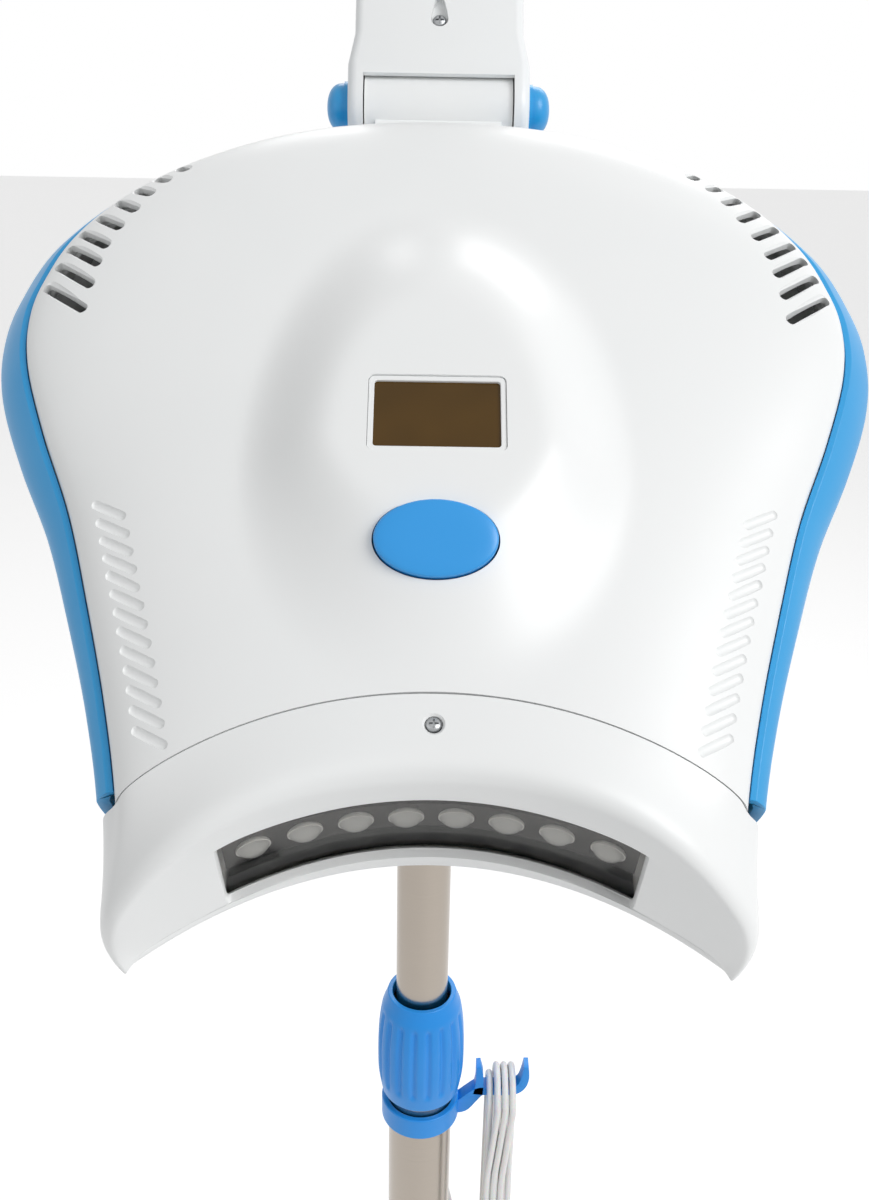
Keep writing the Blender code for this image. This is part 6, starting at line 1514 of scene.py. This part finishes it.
OUTER_RADIUS, INNER_RADIUS, TUBE_WALL = 16.0 * MM, 12.5 * MM, 1.2 * MM
tube_between("outer_tube", *heights("outer_tube"), OUTER_RADIUS, TUBE_WALL, tube_steel)
tube_between("inner_tube", *heights("inner_tube"), INNER_RADIUS, TUBE_WALL, tube_steel)
dressed("tube_guide", black_nylon, 0.4)
dressed("collet", black_nylon, 0.3)
print("the outer tube's top is at", round(heights("outer_tube")[1], 4), "m")

# %% [markdown]
# ## The locking collar
# The blue collar is a barrel with eighteen broad ribs between smooth bands, open at the top
# in a wide lip. It is turned from a smooth profile with a great many steps round, and the
# points between two ribs are then drawn towards the axis, most in the middle of each
# groove. The lip and the bands stay round.

# %% The collar
FLUTES = 18
FLUTE_STEPS = 12
FLUTE_DEPTH = 1.3 * MM
FLUTE_SPAN = (0.13, 0.86)
FLUTE_FADE = 0.05
FLUTE_SHARPNESS = 3.0
COLLAR_ROWS = 54
COLLAR_RADII = (19.2 * MM, 21.5 * MM, 16.5 * MM)
COLLAR_SHAPE = [(0.0, 0.0), (0.05, 0.28), (0.2, 0.85), (0.38, 1.0), (0.62, 0.93), (0.84, 0.62), (0.93, 0.28),
                (1.0, 0.0)]
COLLET_REACH = 4.9 * MM
MOUTH_DEPTH = 6.0 * MM
MOUTH_GAP = 1.7 * MM

collar_low, collar_high = heights("lock_collar")
collar_height = collar_high - collar_low
tube_top = heights("outer_tube")[1]


def collar_outside():
    """Points (radius, height) on the barrel, bottom to top."""
    points = [Vector((mix(COLLAR_RADII[0] if place < 0.5 else COLLAR_RADII[2], COLLAR_RADII[1], share),
                      collar_low + place * collar_height, 0)) for place, share in COLLAR_SHAPE]
    return [(p.x, p.y) for p in even_points(points, COLLAR_ROWS)]


def flute_sink(turn, share):
    """How far a groove draws a point in at a turn and a share of the height."""
    low, high = FLUTE_SPAN
    fade = min(ease((share - low) / FLUTE_FADE), ease((high - share) / FLUTE_FADE))
    return FLUTE_DEPTH * fade * (0.5 + 0.5 * math.cos(turn * FLUTES)) ** FLUTE_SHARPNESS


mouth, collet_room = INNER_RADIUS + MOUTH_GAP, INNER_RADIUS + COLLET_REACH + HINGE_PLAY
inside = [(mouth, collar_high), (mouth, collar_high - MOUTH_DEPTH),
          (collet_room, collar_high - MOUTH_DEPTH - SEAM_GAP), (collet_room, tube_top + SEAM_GAP),
          (OUTER_RADIUS + HINGE_PLAY, tube_top), (OUTER_RADIUS + HINGE_PLAY, collar_low)]
collar = turned(collar_outside() + inside, steps=FLUTES * FLUTE_STEPS)
for v in collar.verts:
    r = math.hypot(v.co.x, v.co.y)
    if r > collet_room + SEAM_GAP:
        sink = flute_sink(math.atan2(v.co.y, v.co.x), (v.co.z - collar_low) / collar_height)
        v.co.x *= (r - sink) / r
        v.co.y *= (r - sink) / r
rounded(place_mesh("lock_collar_barrel", collar, collar_blue, body_of_node["lock_collar"], "blue_plastic",
                   "lock_collar", sharp=math.radians(55)), 0.5, angle=math.radians(55))
print("the collar is", round(collar_height / MM), "mm high with", FLUTES, "grooves")

# %% [markdown]
# ## Cord hook, gland and plug
# The hook is one blue moulding clamped round the tube, with a strap that rises into a
# two-horned cradle. Its edges are rounded enough that they never nick the cord. The gland is
# a short stepped sleeve, and the plug a black barrel.

# %% The hook
HOOK_RING, HOOK_HEIGHT = 3.2 * MM, 12.5 * MM
HOOK_ROUND = 1.3 * MM
HOOK_POINTS = 90
hook_low = heights("cable_hook")[0]
# Middle line of the strap, from the ring to the outer horn, across and up, in millimetres
STRAP_LINE = [(18.0, 645.3), (21.3, 646.0), (25.6, 651.0), (29.4, 655.2), (32.6, 656.0), (36.5, 656.05),
              (44.5, 656.05), (48.6, 656.9), (51.6, 660.2), (52.9, 665.6), (53.2, 672.8)]
STRAP_WIDTHS = [8.8, 8.4, 7.0, 5.8, 5.1, 5.0, 5.0, 4.8, 4.3, 3.9, 2.2]
INNER_HORN = [(29.2, 653.5), (29.7, 657.5), (29.9, 661.5), (29.8, 666.0), (29.1, 672.0)]
INNER_WIDTHS = [5.0, 4.6, 3.9, 3.6, 2.2]


def ribbon(line, widths, thickness):
    """A flat strap that follows a line in the X-Z plane, with round ends."""
    points = even_points([Vector((x * MM, z * MM, w * MM)) for (x, z), w in zip(line, widths)], HOOK_POINTS)
    left, right = [], []
    for a, b in zip(points[:1] + points, points[1:] + points[-1:]):
        along = Vector((b.x - a.x, b.y - a.y)).normalized()
        side = Vector((-along.y, along.x)) * (a.z + b.z) / 4
        middle = Vector((a.x + b.x, a.y + b.y)) / 2
        left.append(middle + side)
        right.append(middle - side)
    ring = [(p.x, -thickness / 2, p.y) for p in left + list(reversed(right))]
    bm = prism(bmesh.new(), ring, (0, thickness, 0))
    bmesh.ops.remove_doubles(bm, verts=bm.verts, dist=MERGE)
    bmesh.ops.recalc_face_normals(bm, faces=bm.faces)
    rims = [e for e in bm.edges if abs(e.verts[0].co.y - e.verts[1].co.y) < MERGE]
    bmesh.ops.bevel(bm, geom=rims, offset=HOOK_ROUND, segments=4, profile=0.5, affect="EDGES", material=-1,
                    clamp_overlap=True)
    return bm


hook_bore = OUTER_RADIUS + SEAM_GAP
hook_ring = turned([(hook_bore, hook_low), (hook_bore + HOOK_RING, hook_low),
                    (hook_bore + HOOK_RING, hook_low + HOOK_HEIGHT), (hook_bore, hook_low + HOOK_HEIGHT)],
                   steps=TUBE_STEPS)
rounded(place_mesh("cable_hook_ring", hook_ring, collar_blue, "base", "blue_plastic", "cable_hook"), 0.8)
for name, line, widths in (("hook_strap", STRAP_LINE, STRAP_WIDTHS), ("hook_horn", INNER_HORN, INNER_WIDTHS)):
    place_mesh(name, ribbon(line, widths, 2 * STRAP_HALF), collar_blue, "base", "blue_plastic", sharp=math.radians(50))
print("the hook reaches", round(STRAP_LINE[-1][0]), "mm out")

# %% Gland and plug
dressed("cord_gland", cord_white, 0.3)
plug = dressed("cord_plug", black_nylon, 0.3)
print("the cord hangs from its hook")

# %% [markdown]
# ## The star base
# The base is moulded in white: a hub with five sockets and five tapering legs. The photograph
# ends above it, so it follows the usual castor base of such stands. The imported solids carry
# the shape, and wide bevels give the soft mould edges. The hub's cover is turned, so that it
# can have one smooth flowing curve from the tube down to its rim.

# %% Hub and legs
LEGS = 5
dressed("base_hub", white_abs, 1.2, segments=4)
for number in range(1, LEGS + 1):
    dressed(f"base_leg_{number}", white_abs, 2.6, segments=4)
print("the hub carries", LEGS, "legs")

# %% The hub's cover
COVER_RADIUS, COVER_WALL, COVER_ROWS = 52.0 * MM, 2.2 * MM, 42
HUB_SEAT, HUB_OPENING = 5.3 * MM, 42.0 * MM
COVER_BEND = [(0.09, 1.0), (0.13, 0.97), (0.24, 0.82), (0.45, 0.57), (0.7, 0.42), (0.9, 0.34), (0.975, 0.27),
              (1.0, 0.18)]

cover_low, cover_high = heights("hub_cover")
cover_collar = OUTER_RADIUS + HINGE_PLAY


def cover_outside():
    """Points (radius, height) down the cover's flowing outside."""
    points = [Vector((mix(cover_collar, COVER_RADIUS, wide), mix(cover_low, cover_high, high), 0))
              for wide, high in COVER_BEND]
    return [(p.x, p.y) for p in even_points(points, COVER_ROWS)]


cover_seat = cover_low + HUB_SEAT
cover_profile = [(cover_collar, cover_high)] + cover_outside() + [
    (COVER_RADIUS, cover_low), (COVER_RADIUS - COVER_WALL, cover_low), (COVER_RADIUS - COVER_WALL, cover_seat),
    (HUB_OPENING, cover_seat), (cover_collar + COVER_WALL * 3, mix(cover_low, cover_high, 0.5)),
    (cover_collar, cover_high - COVER_WALL)]
place_mesh("hub_cover_shell", turned(cover_profile, steps=TUBE_STEPS), white_abs, body_of_node["hub_cover"],
           "white_plastic", "hub_cover", sharp=math.radians(40))
print("the hub's cover is", round((cover_high - cover_low) / MM, 1), "mm high")

# %% [markdown]
# ## Twin-wheel castors
# Each castor has a black nylon fork and two wheels with a soft grey tread, moulded in one
# with their axle. The tread is turned with rounded shoulders, a recessed disc and a small
# hub cap on each side, because the side of a castor is what one sees from a low angle.

# %% Castors
WHEEL_RADIUS, WHEEL_EDGE = 21.7 * MM, 3.8 * MM
WHEEL_INNER, WHEEL_OUTER = 5.25 * MM, 18.25 * MM
AXLE_RADIUS = 3.0 * MM
DISC_RADIUS, DISC_SINK = 15.5 * MM, 1.6 * MM
CAP_DISC_RADIUS, CAP_DISC_RISE = 6.0 * MM, 1.0 * MM
EDGE_CURVE = 5
DISC_CHAMFER, INNER_CHAMFER = 1.0 * MM, 0.8 * MM


def wheel_half():
    """Profile of one wheel from the axis at its outer face to its inner face."""
    face = WHEEL_OUTER - DISC_SINK
    profile = [(0, face + CAP_DISC_RISE), (CAP_DISC_RADIUS - DISC_CHAMFER, face + CAP_DISC_RISE),
               (CAP_DISC_RADIUS, face), (DISC_RADIUS - DISC_CHAMFER, face), (DISC_RADIUS, WHEEL_OUTER)]
    for k in range(EDGE_CURVE + 1):
        a = math.pi / 2 * k / EDGE_CURVE
        profile.append((WHEEL_RADIUS - WHEEL_EDGE * (1 - math.sin(a)), WHEEL_OUTER - WHEEL_EDGE * (1 - math.cos(a))))
    return profile + [(WHEEL_RADIUS, WHEEL_INNER + INNER_CHAMFER), (WHEEL_RADIUS - INNER_CHAMFER, WHEEL_INNER),
                      (AXLE_RADIUS, WHEEL_INNER)]


half_wheel = wheel_half()
wheel_profile = half_wheel + [(r, -h) for r, h in reversed(half_wheel)]
for number in range(1, LEGS + 1):
    joint = joints[f"caster_wheel_{number}_roll"]
    place = stood_on(Vector(joint["pos_m"]), Vector(joint["axis"]), Vector((0, 0, 1)))
    node = f"caster_wheel_{number}"
    place_mesh(node + "_tread", turned(wheel_profile, place), tread_grey, body_of_node[node],
               slot_of_node[node], node, sharp=math.radians(40))
    dressed(f"caster_fork_{number}", black_nylon, 0.5)
print(2 * LEGS, "wheels on", LEGS, "castors")

# %% [markdown]
# ## Inside the head
# Through the vents and the clear window one can glimpse the cooling fan, the finned heat
# sink and the boards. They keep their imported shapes: a moulded black fan frame, a white
# rotor, an extruded aluminium sink, green boards and black modules, with slight mould
# edges. No edge of them touches a neighbour, because a bevel only takes material away.

# %% Fan, sink and boards
dressed("fan_frame", black_nylon, 0.3)
dressed("fan_rotor", white_abs, 0.15)
dressed("heat_sink", fin_aluminium, 0.2)
dressed("control_board", board_green, 0.2)
dressed("display_module", black_nylon, 0.3)
dressed("button_switch", black_nylon, 0.3)
print("the head's insides are dressed")

# %% [markdown]
# ## Floor, white surroundings and soft light
# Product pictures like this one are taken in a white studio. The floor and the world count
# as plain white only for the camera and for mirror and glass rays, so the background is
# pure white while the object is lit at a plain level. Steel and glass show that same white
# room, and the floor keeps the lamp's shadow. A large soft lamp on the right, a weak one on
# the left and one behind model the form, and the left side stays a little darker, as in the
# picture, where the podium's left flank shows as a grey crescent.

# %% The floor
FLOOR_HALF = 6.0
FLOOR_GLOW = 0.32


def seen_share(tree):
    """1 for the camera, mirrors and glass, and 0 for all other light."""
    path = add_node(tree, "ShaderNodeLightPath")
    mirrored = add_node(tree, "ShaderNodeMath", {0: path.outputs["Is Camera Ray"], 1: path.outputs["Is Glossy Ray"]},
                        operation="MAXIMUM")
    return add_node(tree, "ShaderNodeMath", {0: mirrored.outputs[0], 1: path.outputs["Is Transmission Ray"]},
                    operation="MAXIMUM").outputs[0]


bm = bmesh.new()
bmesh.ops.create_grid(bm, x_segments=1, y_segments=1, size=FLOOR_HALF)
floor = scratch_object("floor", bm)
floor_material, floor_tree, floor_shader = new_material("white studio floor", "#ffffff", Roughness=0.7)
lifted = add_node(floor_tree, "ShaderNodeMath", {0: seen_share(floor_tree), 1: FLOOR_GLOW}, operation="MULTIPLY")
floor_glow = add_node(floor_tree, "ShaderNodeEmission", {"Color": linear("#ffffff"), "Strength": lifted.outputs[0]})
floor_sum = add_node(floor_tree, "ShaderNodeAddShader", {0: floor_shader.outputs[0], 1: floor_glow.outputs[0]})
floor_tree.links.new(floor_sum.outputs[0], floor_tree.nodes["Material Output"].inputs["Surface"])
floor.data.materials.append(floor_material)
print("the floor is", 2 * FLOOR_HALF, "m wide")

# %% Lamps
LIT_FROM = [("key", (1.25, -1.05, 2.2), (0.0, -0.15, 1.05), (1.1, 1.1), 22.0),
            ("fill", (-1.6, -0.9, 1.5), (0.0, -0.15, 1.0), (1.4, 1.4), 2.5),
            ("back", (0.3, 1.6, 2.2), (0.0, 0.0, 1.1), (1.6, 0.8), 12.0)]


def soft_lamp(name, place, target, size, watts):
    """A rectangular lamp that looks at a target."""
    light = bpy.data.lights.new(name, "AREA")
    light.shape = "RECTANGLE"
    light.size, light.size_y = size
    light.energy = watts
    lamp = bpy.data.objects.new(name, light)
    look = (Vector(target) - Vector(place)).to_track_quat("-Z", "Y").to_matrix().to_4x4()
    lamp.matrix_world = Matrix.Translation(place) @ look
    bpy.context.scene.collection.objects.link(lamp)


for lamp_words in LIT_FROM:
    soft_lamp(*lamp_words)
print("the lamps give", sum(words[4] for words in LIT_FROM), "W")

# %% The world
WORLD_GREY = 0.45
world = bpy.data.worlds.new("white studio")
bpy.context.scene.world = world
world.use_nodes = True
sky = world.node_tree
dim = sky.nodes["Background"]
dim.inputs["Color"].default_value = linear("#ffffff")
dim.inputs["Strength"].default_value = WORLD_GREY
bright = add_node(sky, "ShaderNodeBackground", {"Color": linear("#ffffff"), "Strength": 1.0})
both = add_node(sky, "ShaderNodeMixShader", {0: seen_share(sky), 1: dim.outputs[0], 2: bright.outputs[0]})
sky.links.new(both.outputs[0], sky.nodes["World Output"].inputs["Surface"])
bpy.context.scene.view_settings.view_transform = "Standard"
print("the surroundings light the lamp at strength", WORLD_GREY)
